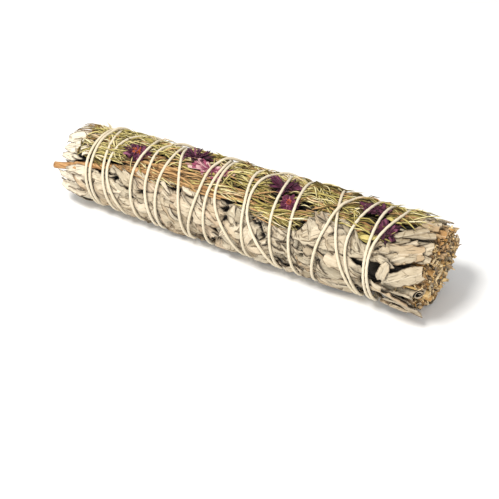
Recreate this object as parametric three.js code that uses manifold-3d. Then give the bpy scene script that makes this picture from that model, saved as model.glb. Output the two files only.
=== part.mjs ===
// A bundle of dried white sage, wound with cotton string, with a strip of fine leaves and flowers.
// Millimetres. The bundle lies along X with its cut stems at +X, on the plane z = 0.
// A place on it is given as x, an angle round the axis and a radius from the axis.
// The angle is in degrees: 0 faces -Y, 90 is the top, 180 faces +Y and -90 is underneath.

import * as THREE from 'three';
import { mergeVertices } from 'three/addons/utils/BufferGeometryUtils.js';
import Module from 'manifold-3d';

const wasm = await Module();
wasm.setup();

// The whole bundle
const LENGTH = 214;
const HALF = LENGTH / 2;
const TIP_RADIUS = 19.5;
const CUT_RADIUS = 23.8;
const TIP_ROUNDING = 16;
const TIP_SHARE = 0.62;
const FLAT_DEPTH = 1.5;
const STRING_ROOM = 2.5;
const GAP = 0.3;

// Sage leaves
const SPRIGS = 6;
const SECTOR = 360 / SPRIGS;
const SPRIG_GAP = 1.1;
const SEAM_WANDER = 6.5;
const BLADE = 0.8;
const LEAF_DEPTH = 3.1;
const STALK_SHARE = 0.3;
const LEAF_LENGTH = [56, 66];
const LEAF_HALF_WIDTH = [5.8, 7.8];
const LEAF_YAW = 15;
const UPPER_LEAVES = { layer: [0.05, 0.3], fold: [0.5, 0.8] };
const LOWER_LEAVES = { layer: [1.55, 1.75], fold: [-0.4, -0.4] };
const LEAVES_IN_COLUMN = 4;
const UNDERSIDE_LEAVES = 3;
const COLUMN_ANGLE = 11;
const LAST_LEAF = 30;
const LOOSE_LEAF = {
  start: [70, 76],
  length: [27, 31],
  halfWidth: [4.2, 5.8],
  fold: -0.9,
  flare: [1.2, 2.4],
};
const CUT_LEAF_RINGS = [7, 12, 17];
const CUT_LEAF_ROOT = 8;
const TIP_LEAF_RINGS = [5.5, 11];
const TIP_LEAF_ROOT = 8;

// The pressed inner leaves of each sprig
const CORE_BORE = 3.2;
const CORE_TIP = -96;
const CORE_CUT = 98;

// The flat spots under the leaves: where each is along the bundle, and its length
const RESTS = [
  [-60.5, 10],
  [-2.5, 18],
  [93, 20],
];
const REST_WIDTH = 16;
const REST_EDGE = 1.3;
const REST_ROOT = STRING_ROOM + LEAF_DEPTH + 0.6;

// The strip of fine leaves along the top and front: its lower edge, as x and angle
const STRIP_DEPTH = 3.3;
const STRIP_BED = 3.8;
const STRIP_FADE = 6;
const STRIP_CUT = 98;
const STRIP_TOP = 134;
const STRIP_EDGE = [
  [-92, 29],
  [-75, 37],
  [-48, 42],
  [-18, 42],
  [10, 42],
  [15, 24],
  [37, 24],
  [43, 56],
  [57, 60],
  [70, 38],
  [78, 42],
  [86, 58],
  [97, 80],
];

// Cotton string
const STRING_RADIUS = 0.8;
const STRING_SIDES = 5;
const STRING_SAG = 0.6;
const STRING_APART = 1.9;
const STRING_STEP = 6;
// Where the string crosses these angles on each turn, from the knot out to the tip end and back
const TURN_ANGLES = [-90, -30, 40, 110, 190];
const TURNS = [
  [80.0, 79.6, 77.3, 84.0, 77.0],
  [72.2, 71.3, 64.0, 68.2, 69.3],
  [69.4, 69.0, 58.0, 49.3, 42.0],
  [39.5, 37.5, 33.0, 30.4, 29.0],
  [28.0, 27.0, 22.2, 19.8, 8.0],
  [7.0, 5.0, -10.0, -12.4, -13.0],
  [-13.2, -13.6, -15.1, -14.8, -25.0],
  [-26.5, -27.0, -31.6, -40.8, -41.6],
  [-42.3, -42.5, -43.8, -43.3, -51.0],
  [-54.0, -56.2, -59.2, -58.8, -67.5],
  [-70.0, -72.0, -76.8, -81.0, -86.5],
  [-84.8, -83.6, -87.0, -86.0, -84.2],
  [-81.2, -81.0, -84.4, -83.6, -69.5],
  [-67.0, -66.0, -74.3, -71.0, -53.0],
  [-48.5, -46.3, -50.8, -50.4, -27.0],
  [-23.5, -24.2, -20.4, -17.2, 6.0],
  [10.0, 9.6, 6.6, 3.4, 15.0],
  [24.0, 24.3, 8.8, 10.8, 36.0],
  [46.5, 47.5, 50.3, 58.1, 74.5],
  [77.3, 77.2, 75.2, 75.4, 80.0],
];
// The loose tails at the knot, as angle and x
const FIRST_TAIL = [[-178, 93], [-160, 88]];
const LAST_TAIL = [[206, 86], [219, 90.5], [230, 95]];
const KNOT = { x: 86.8, angle: 208, size: 1.7, strand: 0.7 };

// The tan twig, as x, angle, depth under the outline and radius
const TWIG = [
  [-107.5, 15, 0.8, 1.8],
  [-100, 20.5, 1.4, 1.9],
  [-92, 28.5, 2.1, 1.9],
  [-83, 36.5, 2.2, 1.9],
  [-68, 44, 2.0, 1.8],
  [-51, 50, 1.7, 1.5],
  [-34, 54, 1.4, 1.3],
  [-10, 53, 1.3, 1.1],
  [15, 51, 1.2, 1.0],
  [42, 52, 1.0, 0.8],
];
const TWIG_SIDES = 7;

// Sprays of fine leaves: from and to along the bundle, the angle, and how far it turns on the way
const SPRAYS = [
  [-91, -72, 66],
  [-52, 21, 65],
  [40, 59, 77],
  [-91, -72, 90],
  [-8, 11, 90],
  [30, 60, 90],
  [79, 95, 92],
  [-92, -8, 117],
  [-2, 92, 117],
  [60, 80, 64, -16],
  [16, 40, 38],
];
const NEEDLE_LENGTH = [9, 14];
const NEEDLE_RADIUS = 0.55;
const NEEDLE_PITCH = 6;
const NEEDLE_DEPTH = [0.5, 1.7];
const LANE = 4.3;
const SPRAY_STEM = { depth: 2, thick: 0.8, thin: 0.5, sides: 4 };

// Papery flowers: x, angle, half length along the bundle and half width
const FLOWERS = [
  [-63, 75, 8.4, 7.0],
  [-33, 104, 8.0, 4.4],
  [-19, 82, 9.2, 5.2],
  [20, 92, 7.0, 5.0],
  [28.5, 66, 3.8, 4.0],
  [69, 96, 7.2, 4.4],
  [80, 68, 5.6, 5.6],
];
const PETAL = 0.7;
const OUTER_PETALS = { count: 5, spread: 0.6, reach: [0.85, 1], root: 2.2, tip: [0.9, 1.4], cells: 2 };
const INNER_PETALS = { count: 3, spread: 0.8, reach: [0.5, 0.66], root: 1.3, tip: [0.3, 0.6], cells: 1 };
const MAGENTA_FLOWERS = [3, 5];

// Cut stems: one in the middle and two rings round it, as count, distance from the axis and radii
const STEM_RINGS = [
  { count: 1, distance: 0, thin: 2.1, thick: 2.2 },
  { count: 5, distance: 7.6, thin: 1.2, thick: 1.7 },
  { count: 8, distance: 14.4, thin: 1.1, thick: 1.8 },
];
const STEM_SIDES = 6;
const STEM_REACH = [0.4, 3];
const STEM_LENGTH = [48, 96];

const SAGE = { color: 0xc9c1b0, roughness: 0.92, metalness: 0 };
const STRING = { color: 0xf0e8d2, roughness: 0.85, metalness: 0 };
const NEEDLES = { color: 0xa39a55, roughness: 0.8, metalness: 0 };
const TAN_WOOD = { color: 0xc39664, roughness: 0.75, metalness: 0 };
const CUT_WOOD = { color: 0xb48c55, roughness: 0.85, metalness: 0 };
const PURPLE = { color: 0x6e2850, roughness: 0.8, metalness: 0 };
const MAGENTA = { color: 0xa8486e, roughness: 0.8, metalness: 0 };

const radians = THREE.MathUtils.degToRad;
const { clamp, lerp, smoothstep } = THREE.MathUtils;

/** A repeatable draw: seeded(n)(low, high) gives the next number of that range. */
function seeded(seed) {
  let state = seed;
  return (low, high) => {
    state = (state + 0x6d2b79f5) | 0;
    let mixed = Math.imul(state ^ (state >>> 15), 1 | state);
    mixed = (mixed + Math.imul(mixed ^ (mixed >>> 7), 61 | mixed)) ^ mixed;
    return low + (high - low) * (((mixed ^ (mixed >>> 14)) >>> 0) / 2 ** 32);
  };
}

/** The value at x of a line through [x, value] pairs in rising x. */
function along(pairs, x) {
  for (let i = 1; i < pairs.length; i += 1) {
    if (x <= pairs[i][0]) {
      const share = clamp((x - pairs[i - 1][0]) / (pairs[i][0] - pairs[i - 1][0]), 0, 1);
      return lerp(pairs[i - 1][1], pairs[i][1], share);
    }
  }
  return pairs[pairs.length - 1][1];
}

/** The angle as a number from -180 to 180. */
const wrapped = (angle) => ((((angle + 180) % 360) + 360) % 360) - 180;

const evenRadius = (x) => lerp(TIP_RADIUS, CUT_RADIUS, (x + HALF) / LENGTH);
const axisHeight = (x) => evenRadius(x) - FLAT_DEPTH;

function bundlePoint(x, angle, radius) {
  const turn = radians(angle);
  return new THREE.Vector3(x, -radius * Math.cos(turn), axisHeight(x) + radius * Math.sin(turn));
}

/** The radius at which this angle meets a plane at the given height. */
function radiusAtHeight(x, angle, height) {
  const down = -Math.sin(radians(angle));
  return down > 0.05 ? (axisHeight(x) - height) / down : Infinity;
}

/** The bundle's outline, which nothing but the string and the flat spots passes. */
function outline(x, angle) {
  const turn = radians(angle);
  const waves = 1 + 0.012 * Math.sin(x / 13 + 2 * turn) + 0.01 * Math.sin(x / 29 - 3 * turn);
  const fromTip = clamp((x + HALF) / TIP_ROUNDING, 0, 1);
  const rounding = TIP_SHARE + (1 - TIP_SHARE) * Math.sqrt(1 - (1 - fromTip) ** 2);
  return Math.min(evenRadius(x) * waves * rounding, radiusAtHeight(x, angle, STRING_ROOM));
}

/** How far the sage leaves lie under the outline, where the strip of fine leaves covers them. */
function stripDepth(x, angle) {
  const edge = along(STRIP_EDGE, x);
  const turned = wrapped(angle);
  const front = smoothstep(turned, edge - 5, edge + 3);
  const back = 1 - smoothstep(turned, STRIP_TOP - 3, STRIP_TOP + 5);
  const tipEnd = smoothstep(x, STRIP_EDGE[0][0] - STRIP_FADE / 2, STRIP_EDGE[0][0] + STRIP_FADE / 2);
  const cutEnd = 1 - smoothstep(x, STRIP_CUT - STRIP_FADE, STRIP_CUT);
  return STRIP_BED * front * back * tipEnd * cutEnd;
}

const leafTop = (x, angle) => outline(x, angle) - stripDepth(x, angle);

/** A closed slab of cells. place(u, v, side) gives its inner face for side 0, its outer for side 1. */
function slab(lengths, widths, place) {
  const positions = [];
  const index = [];
  const corner = (i, j, side) => (side * (lengths + 1) + i) * (widths + 1) + j;
  const quad = (a, b, c, d) => index.push(a, b, c, a, c, d);
  for (const side of [0, 1]) {
    for (let i = 0; i <= lengths; i += 1) {
      for (let j = 0; j <= widths; j += 1) {
        positions.push(...place(i / lengths, j / widths, side).toArray());
      }
    }
  }
  for (let i = 0; i < lengths; i += 1) {
    for (let j = 0; j < widths; j += 1) {
      quad(corner(i, j, 1), corner(i + 1, j, 1), corner(i + 1, j + 1, 1), corner(i, j + 1, 1));
      index.push(corner(i, j, 0), corner(i + 1, j + 1, 0), corner(i + 1, j, 0));
      index.push(corner(i, j, 0), corner(i, j + 1, 0), corner(i + 1, j + 1, 0));
    }
    quad(corner(i, 0, 0), corner(i + 1, 0, 0), corner(i + 1, 0, 1), corner(i, 0, 1));
    quad(corner(i, widths, 0), corner(i, widths, 1), corner(i + 1, widths, 1), corner(i + 1, widths, 0));
  }
  for (let j = 0; j < widths; j += 1) {
    const end = lengths;
    quad(corner(0, j + 1, 0), corner(0, j, 0), corner(0, j, 1), corner(0, j + 1, 1));
    quad(corner(end, j, 0), corner(end, j + 1, 0), corner(end, j + 1, 1), corner(end, j, 1));
  }
  return shapeOf(positions, index);
}

/** A tube through the points, with its own radius at each. */
function tube(points, radii, sides) {
  const positions = [];
  const index = [];
  let across = new THREE.Vector3(0, 0, 1);
  points.forEach((point, i) => {
    const before = points[Math.max(i - 1, 0)];
    const after = points[Math.min(i + 1, points.length - 1)];
    const ahead = after.clone().sub(before).normalize();
    across = across.clone().addScaledVector(ahead, -across.dot(ahead)).normalize();
    const up = ahead.clone().cross(across);
    for (let k = 0; k < sides; k += 1) {
      const turn = (2 * Math.PI * k) / sides;
      const corner = point.clone();
      corner.addScaledVector(across, radii[i] * Math.cos(turn));
      corner.addScaledVector(up, radii[i] * Math.sin(turn));
      positions.push(...corner.toArray());
    }
  });
  for (let i = 0; i + 1 < points.length; i += 1) {
    for (let k = 0; k < sides; k += 1) {
      const here = i * sides + k;
      const next = i * sides + ((k + 1) % sides);
      index.push(here, next, next + sides, here, next + sides, here + sides);
    }
  }
  const last = (points.length - 1) * sides;
  for (let k = 1; k + 1 < sides; k += 1) {
    index.push(0, k + 1, k);
    index.push(last, last + k, last + k + 1);
  }
  return shapeOf(positions, index);
}

function shapeOf(positions, index) {
  const geometry = new THREE.BufferGeometry();
  geometry.setAttribute('position', new THREE.Float32BufferAttribute(positions, 3));
  geometry.setIndex(index);
  return geometry;
}

/** The geometry as a solid that can be joined and cut. */
function solidOf(geometry) {
  const bare = geometry.clone();
  bare.deleteAttribute('normal');
  bare.deleteAttribute('uv');
  const merged = mergeVertices(bare, 1e-4);
  const vertProperties = new Float32Array(merged.attributes.position.array);
  const triVerts = new Uint32Array(merged.index.array);
  return new wasm.Manifold(new wasm.Mesh({ numProp: 3, vertProperties, triVerts }));
}

const joined = (geometries) => geometries.map(solidOf).reduce((whole, piece) => whole.add(piece));
const without = (solid, cutters) => cutters.reduce((left, cutter) => left.subtract(cutter), solid);

/** The solid's biggest body, with no scraps and no sealed hollows. */
function mainBody(solid) {
  return solid.decompose().reduce((most, piece) => (piece.volume() > most.volume() ? piece : most));
}

const bundle = new THREE.Group();

function geometryOf(solid) {
  const { vertProperties, triVerts } = mainBody(solid).getMesh();
  return shapeOf(vertProperties, [...triVerts]);
}

function addNode(name, solid, look) {
  const geometry = geometryOf(solidOf(geometryOf(solid)));
  geometry.computeVertexNormals();
  const mesh = new THREE.Mesh(geometry, new THREE.MeshStandardMaterial(look));
  mesh.name = name;
  bundle.add(mesh);
}

/** The angle at which one sprig meets the next, which wanders along the bundle. */
function sprigEdge(sprig, x) {
  const own = 2.1 * (sprig % SPRIGS);
  const wander = SEAM_WANDER * Math.sin(x / 22 + own) + 1.5 * Math.sin(x / 8 + 3 * own);
  return -90 + SECTOR * (sprig - 0.5) + wander;
}

/** The angle held between the sprig's edges, a little clear of its neighbours. */
function withinSprig(sprig, x, angle, radius) {
  const clear = THREE.MathUtils.radToDeg(SPRIG_GAP / 2 / radius);
  return clamp(angle, sprigEdge(sprig, x) + clear, sprigEdge(sprig + 1, x) - clear);
}

/** The pressed inner leaves of one sprig, which its outer leaves grow out of. */
function sprigCore(sprig) {
  return slab(9, 2, (u, v, side) => {
    const x = lerp(CORE_TIP, CORE_CUT, u);
    const angle = lerp(sprigEdge(sprig, x), sprigEdge(sprig + 1, x), v);
    const radius = side ? leafTop(x, angle) - LEAF_DEPTH : CORE_BORE;
    return bundlePoint(x, withinSprig(sprig, x, angle, radius), radius);
  });
}

/** A leaf's half width as a share of its widest, from stalk to point. */
const leafShape = (u) => Math.max(0.06, Math.sin(Math.PI * clamp(0.08 + 0.9 * u, 0, 1) ** 0.85) ** 0.75);

/** A blade that rises out of the core at its stalk and lies along the bundle, folded along its rib. */
function leaf({ sprig, x, angle, length, halfWidth, yaw, layer, fold, toward, flare = 0 }) {
  const turn = radians(yaw);
  return slab(3, 2, (u, v, side) => {
    const ahead = u * length;
    const aside = (2 * v - 1) * halfWidth * leafShape(u);
    const here = x + toward * (ahead * Math.cos(turn) - aside * Math.sin(turn));
    const round = ahead * Math.sin(turn) + aside * Math.cos(turn);
    const free = angle + toward * THREE.MathUtils.radToDeg(round / evenRadius(here));
    const at = withinSprig(sprig, here, free, evenRadius(here));
    const sunk = (LEAF_DEPTH + BLADE) * (1 - smoothstep(u, 0, STALK_SHARE));
    const folded = fold > 0 ? fold * (1 - Math.abs(2 * v - 1)) : -fold * Math.abs(2 * v - 1);
    const top = leafTop(here, at) - Math.max(sunk, layer + folded) + flare * smoothstep(u, 0.4, 1);
    return bundlePoint(here, at, top - (side ? 0 : BLADE));
  });
}

/** A sprig's leaves in two columns, the oldest by the cut end, each over the stalk of the next. */
function columnLeaves(sprig, draw) {
  const leaves = [];
  const count = sprig === 0 ? UNDERSIDE_LEAVES : LEAVES_IN_COLUMN;
  const pitch = (LENGTH - LAST_LEAF) / count;
  for (let i = 0; i < count; i += 1) {
    for (const column of i === 0 ? [1] : [-1, 1]) {
      const kind = column > 0 ? UPPER_LEAVES : LOWER_LEAVES;
      const length = draw(...LEAF_LENGTH);
      const start = HALF - 3 - pitch * (i + (column > 0 ? 0.5 : 0)) + draw(-4, 4);
      leaves.push(leaf({
        sprig,
        x: Math.max(start, length - HALF + 2),
        angle: -90 + SECTOR * sprig + COLUMN_ANGLE * column + draw(-3, 3),
        length,
        halfWidth: draw(...LEAF_HALF_WIDTH),
        yaw: draw(-LEAF_YAW, LEAF_YAW),
        layer: draw(...kind.layer),
        fold: draw(...kind.fold),
        toward: -1,
      }));
    }
  }
  return leaves;
}

/** A leaf past the last turn of string that points to the cut end. */
function looseLeaf(sprig, draw) {
  return leaf({
    sprig,
    x: draw(...LOOSE_LEAF.start),
    angle: -90 + SECTOR * sprig + draw(-12, 12),
    length: draw(...LOOSE_LEAF.length),
    halfWidth: draw(...LOOSE_LEAF.halfWidth),
    yaw: draw(-10, 10),
    layer: 0,
    fold: LOOSE_LEAF.fold,
    flare: draw(...LOOSE_LEAF.flare),
    toward: 1,
  });
}

/** Cut leaves that stand out of the core, as curved strips, at the cut end. */
function cutLeaves(sprig, draw) {
  return CUT_LEAF_RINGS.map((distance) => {
    const middle = -90 + SECTOR * sprig + draw(-9, 9);
    const reach = draw(HALF - 4, HALF);
    const spread = draw(9, 20);
    const bow = draw(-1.2, 1.2);
    return slab(1, 3, (u, v, side) => {
      const x = lerp(CORE_CUT - CUT_LEAF_ROOT, reach, u) + (u ? draw(-1, 1) : 0);
      const radius = distance + bow * Math.sin(Math.PI * v * 2) - (side ? 0 : BLADE);
      const angle = middle + (2 * v - 1) * spread * Math.min(1, 9 / distance + 0.35);
      return bundlePoint(x, withinSprig(sprig, x, angle, radius), radius);
    });
  });
}

/** Leaf points that close the tip end, inside the outer leaves. */
function tipLeaves(sprig, draw) {
  return TIP_LEAF_RINGS.map((distance) => {
    const middle = -90 + SECTOR * sprig + draw(-12, 12);
    const reach = draw(-HALF, -HALF + 6);
    const width = draw(3, 4.2);
    return slab(2, 2, (u, v, side) => {
      const x = lerp(CORE_TIP + TIP_LEAF_ROOT, reach, u);
      const aside = (2 * v - 1) * width * (1 - 0.8 * u * u);
      const radius = distance - 0.12 * distance * u - (side ? 0 : BLADE + 0.2 * (1 - u));
      const angle = middle + THREE.MathUtils.radToDeg(aside / distance);
      return bundlePoint(x, withinSprig(sprig, x, angle, radius), radius);
    });
  });
}

/** A leaf that bulges out between turns of the string and is pressed flat in its middle. */
function restLeaf([middle, length]) {
  const lengthwise = [-0.5, -0.24, 0.24, 0.5];
  const crosswise = [0.5, 0.4, -0.4, -0.5];
  return slab(3, 3, (u, v, side) => {
    const i = Math.round(3 * u);
    const j = Math.round(3 * v);
    const atEnd = i === 0 || i === 3;
    const atEdge = j === 0 || j === 3;
    const x = middle + length * lengthwise[i];
    const y = REST_WIDTH * crosswise[j] * (side ? 1 : 0.5) * (atEnd ? 0.4 : 1);
    const outer = Math.max(atEnd ? REST_ROOT : 0, atEdge ? REST_EDGE : 0);
    return new THREE.Vector3(x, y, side ? outer : REST_ROOT + BLADE);
  });
}

/** The groove in the sage leaves that the strip of fine leaves lies in. */
const trough = solidOf(slab(14, 5, (u, v, side) => {
  const x = lerp(STRIP_EDGE[0][0], STRIP_EDGE[STRIP_EDGE.length - 1][0], u);
  const angle = lerp(along(STRIP_EDGE, x), STRIP_TOP, v);
  return bundlePoint(x, angle, outline(x, angle) + (side ? 6 : -STRIP_DEPTH));
}));

/** The twig, or the room that it needs when it is drawn thicker by the clearance. */
function twig(clearance) {
  const points = TWIG.map(([x, angle, depth]) => {
    const inside = Math.max(x, -HALF + TIP_ROUNDING / 2);
    return bundlePoint(x, angle, outline(inside, angle) - depth);
  });
  return solidOf(tube(points, TWIG.map(([, , , radius]) => radius + clearance), TWIG_SIDES));
}

/** Every cut stem, with its radius, ends and place; the far end is the one that shows. */
function stemList() {
  const draw = seeded(900);
  const stems = [];
  STEM_RINGS.forEach(({ count, distance, thin, thick }) => {
    for (let i = 0; i < count; i += 1) {
      stems.push({
        radius: draw(thin, thick),
        distance,
        angle: (360 / count) * i + draw(6, 20) + distance,
        end: HALF + draw(...STEM_REACH),
        length: draw(...STEM_LENGTH),
        slant: draw(-0.35, 0.35),
      });
    }
  });
  return stems;
}

/** A stem with a slanting cut, or the room that it needs when it is drawn thicker by the clearance. */
function stem({ radius, distance, angle, end, length, slant }, clearance) {
  const thick = radius + clearance;
  const thin = 0.9 * radius + clearance;
  const geometry = new THREE.CylinderGeometry(thick, thin, length, STEM_SIDES);
  geometry.rotateZ(-Math.PI / 2);
  const { position } = geometry.attributes;
  for (let i = 0; i < position.count; i += 1) {
    if (position.getX(i) > 0) {
      position.setX(i, position.getX(i) + slant * position.getY(i));
    }
  }
  const place = bundlePoint(end - length / 2, angle, distance);
  const rise = (axisHeight(end) - axisHeight(end - length)) / length;
  return solidOf(geometry.rotateY(-Math.atan(rise)).translate(place.x - clearance, place.y, place.z));
}

/** One flower's petals in two rings round a small eye, under the outline. */
function flower([x, angle, halfLength, halfWidth], draw) {
  const onFlower = (reach, turn, depth) => {
    const here = x + reach * halfLength * Math.cos(turn);
    const round = (reach * halfWidth * Math.sin(turn)) / outline(x, angle);
    const at = angle + THREE.MathUtils.radToDeg(round);
    return bundlePoint(here, at, outline(here, at) - depth);
  };
  const petal = (turn, reach, tip, { spread, root, cells }) => slab(cells, 1, (u, v, side) => {
    const outward = lerp(0.16, reach, u);
    const swing = turn + (2 * v - 1) * spread * (1 - 0.45 * u * u);
    const depth = lerp(root, tip, u * u) - 0.25;
    return onFlower(outward, swing, depth + (side ? 0 : PETAL));
  });
  const petals = [];
  [OUTER_PETALS, INNER_PETALS].forEach((ring, inner) => {
    for (let i = 0; i < ring.count; i += 1) {
      const turn = (2 * Math.PI * (i + 0.4 * inner + draw(-0.12, 0.12))) / ring.count;
      petals.push(petal(turn, draw(...ring.reach), draw(...ring.tip), ring));
    }
  });
  const eye = slab(1, 1, (u, v, side) => {
    const turn = [[-2.4, 2.4], [-0.7, 0.7]][Math.round(u)][Math.round(v)];
    return onFlower(0.3, turn, side ? 1.1 : 2.8);
  });
  return joined([eye, ...petals]);
}

/** The room that a flower needs among the fine leaves. */
function flowerRoom([x, angle, halfLength, halfWidth]) {
  const geometry = new THREE.CylinderGeometry(1, 1, 2 * STRIP_BED, 14);
  const outward = bundlePoint(0, angle, 1).sub(bundlePoint(0, angle, 0));
  const lengthwise = new THREE.Vector3(1, 0, 0);
  const across = lengthwise.clone().cross(outward);
  const turn = new THREE.Matrix4().makeBasis(lengthwise, outward, across);
  geometry.scale(halfLength + 2 * GAP, 1, halfWidth + 2 * GAP);
  geometry.applyMatrix4(turn);
  return solidOf(geometry.translate(...bundlePoint(x, angle, outline(x, angle)).toArray()));
}

/** A slim stem with fine leaves that fan out to both sides, towards the cut end. */
function spray([from, to, middle, turned = 0], draw) {
  const steps = Math.max(2, Math.round((to - from) / 16));
  const wander = draw(0, 6);
  const stemAngle = (x) => middle + (turned * (x - from)) / (to - from) + 2.2 * Math.sin(x / 9 + wander);
  const onSpray = (x, angle, depth) => bundlePoint(x, angle, outline(x, angle) - depth);
  const points = [];
  const radii = [];
  for (let i = 0; i <= steps; i += 1) {
    const x = lerp(from, to - 5, i / steps);
    points.push(onSpray(x, stemAngle(x), SPRAY_STEM.depth));
    radii.push(lerp(SPRAY_STEM.thick, SPRAY_STEM.thin, i / steps));
  }
  const pieces = [tube(points, radii, SPRAY_STEM.sides)];
  const count = Math.round((to - from - 8) / NEEDLE_PITCH);
  for (let i = 0; i < count; i += 1) {
    const x = lerp(from + 1, to - 8, i / Math.max(count - 1, 1));
    const length = Math.min(draw(...NEEDLE_LENGTH), to - x);
    const aside = (i % 2 ? 1 : -1) * draw(1.2, LANE);
    const root = onSpray(x, stemAngle(x), SPRAY_STEM.depth);
    const tipX = x + Math.sqrt(length ** 2 - aside ** 2);
    const tipAngle = stemAngle(x) + THREE.MathUtils.radToDeg(aside / evenRadius(x));
    pieces.push(needle(root, onSpray(tipX, tipAngle, draw(...NEEDLE_DEPTH))));
  }
  return joined(pieces);
}

function needle(root, tip) {
  const reach = tip.clone().sub(root);
  const geometry = new THREE.ConeGeometry(NEEDLE_RADIUS, reach.length(), 3);
  geometry.translate(0, reach.length() / 2, 0);
  const turn = new THREE.Quaternion().setFromUnitVectors(new THREE.Vector3(0, 1, 0), reach.normalize());
  return geometry.applyQuaternion(turn).translate(root.x, root.y, root.z);
}

/** The string's route as [angle from the start, x] points, through its tails and every turn. */
function routePoints() {
  const points = [...FIRST_TAIL];
  TURNS.forEach((turn, i) => {
    turn.forEach((x, j) => points.push([360 * i + TURN_ANGLES[j], x]));
  });
  const lastTurn = 360 * (TURNS.length - 1);
  LAST_TAIL.forEach(([angle, x]) => points.push([lastTurn + angle, x]));
  return points;
}

/** A smooth curve through points in rising first value, sampled at the step. */
function smoothRoute(points, step) {
  const slope = (i) => {
    const before = points[Math.max(i - 1, 0)];
    const after = points[Math.min(i + 1, points.length - 1)];
    return (after[1] - before[1]) / (after[0] - before[0]);
  };
  const samples = [];
  for (let i = 0; i + 1 < points.length; i += 1) {
    const [start, first] = points[i];
    const [end, second] = points[i + 1];
    const span = end - start;
    const count = Math.max(1, Math.round(span / step));
    for (let k = 0; k < count; k += 1) {
      const t = k / count;
      const value = first * (2 * t ** 3 - 3 * t ** 2 + 1) + second * (3 * t ** 2 - 2 * t ** 3)
        + span * (slope(i) * (t ** 3 - 2 * t ** 2 + t) + slope(i + 1) * (t ** 3 - t ** 2));
      samples.push([start + span * t, value]);
    }
  }
  samples.push(points[points.length - 1]);
  return samples;
}

/** How far each sample of the route rides up over the turns laid before it. */
function routeLifts(samples) {
  const lifts = [];
  samples.forEach(([angle, x], i) => {
    let lift = 0;
    for (let j = 0; j < i; j += 1) {
      const [other, otherX] = samples[j];
      const apart = Math.hypot(x - otherX, radians(wrapped(angle - other)) * evenRadius(x));
      if (angle - other > 90 && apart < STRING_APART) {
        lift = Math.max(lift, lifts[j] + Math.sqrt(STRING_APART ** 2 - apart ** 2));
      }
    }
    lifts.push(lift);
  });
  return lifts;
}

/** The points of a line that it needs to stay within the tolerance of itself. */
function thinned(points, tolerance) {
  if (points.length < 3) {
    return points;
  }
  const chord = new THREE.Line3(points[0], points[points.length - 1]);
  let worst = 0;
  let at = 0;
  for (let i = 1; i + 1 < points.length; i += 1) {
    const off = chord.closestPointToPoint(points[i], true, new THREE.Vector3()).distanceTo(points[i]);
    if (off > worst) {
      worst = off;
      at = i;
    }
  }
  if (worst < tolerance) {
    return [points[0], points[points.length - 1]];
  }
  const first = thinned(points.slice(0, at + 1), tolerance);
  return [...first, ...thinned(points.slice(at), tolerance).slice(1)];
}

function cottonString() {
  const samples = smoothRoute(routePoints(), STRING_STEP);
  const lifts = routeLifts(samples);
  const seat = STRING_SAG + STRING_RADIUS + 0.1;
  const points = samples.map(([angle, x], i) => {
    return bundlePoint(x, angle, outline(x, angle) + seat + lifts[i]);
  });
  const kept = thinned(points, STRING_SAG);
  const line = tube(kept, kept.map(() => STRING_RADIUS), STRING_SIDES);
  const knot = new THREE.TorusKnotGeometry(KNOT.size, KNOT.strand, 24, 5);
  knot.rotateX(radians(90 - KNOT.angle));
  const seatAt = outline(KNOT.x, KNOT.angle) + seat + STRING_RADIUS;
  return joined([line, knot.translate(...bundlePoint(KNOT.x, KNOT.angle, seatAt).toArray())]);
}

const numbered = (i) => String(i + 1).padStart(2, '0');
const stems = stemList();
const stemRooms = stems.map((each) => stem(each, GAP));
const twigRoom = twig(GAP);
const flowerRooms = FLOWERS.map(flowerRoom);

for (let sprig = 0; sprig < SPRIGS; sprig += 1) {
  const draw = seeded(100 + sprig);
  const pieces = [
    sprigCore(sprig),
    ...columnLeaves(sprig, draw),
    looseLeaf(sprig, draw),
    ...cutLeaves(sprig, draw),
    ...tipLeaves(sprig, draw),
    ...(sprig === 0 ? RESTS.map(restLeaf) : []),
  ];
  const body = without(joined(pieces), [trough, twigRoom, ...stemRooms]);
  addNode(`sprig_${sprig + 1}_leaves`, body, SAGE);
}
stems.forEach((each, i) => {
  addNode(`cut_stem_${numbered(i)}`, stem(each, 0), CUT_WOOD);
});
addNode('twig', twig(0), TAN_WOOD);
SPRAYS.forEach((each, i) => {
  const body = without(spray(each, seeded(300 + i)), [twigRoom, ...flowerRooms]);
  addNode(`fine_leaf_spray_${numbered(i)}`, body, NEEDLES);
});
FLOWERS.forEach((each, i) => {
  const look = MAGENTA_FLOWERS.includes(i + 1) ? MAGENTA : PURPLE;
  addNode(`flower_${i + 1}`, flower(each, seeded(500 + i)), look);
});
addNode('cotton_string', cottonString(), STRING);

export default bundle;
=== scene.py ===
"""Looks of a bundle of dried white sage, wound with cotton string.

The bundle lies along X with its cut stems at +X, on the plane z = 0. A place on it is an x, an
angle round the axis and a radius from the axis, in millimetres and degrees: 0 faces -Y, 90 is the
top, 180 faces +Y and -90 is underneath. Meshes are made in millimetres and scaled to metres.
"""

import math
from types import SimpleNamespace

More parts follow.
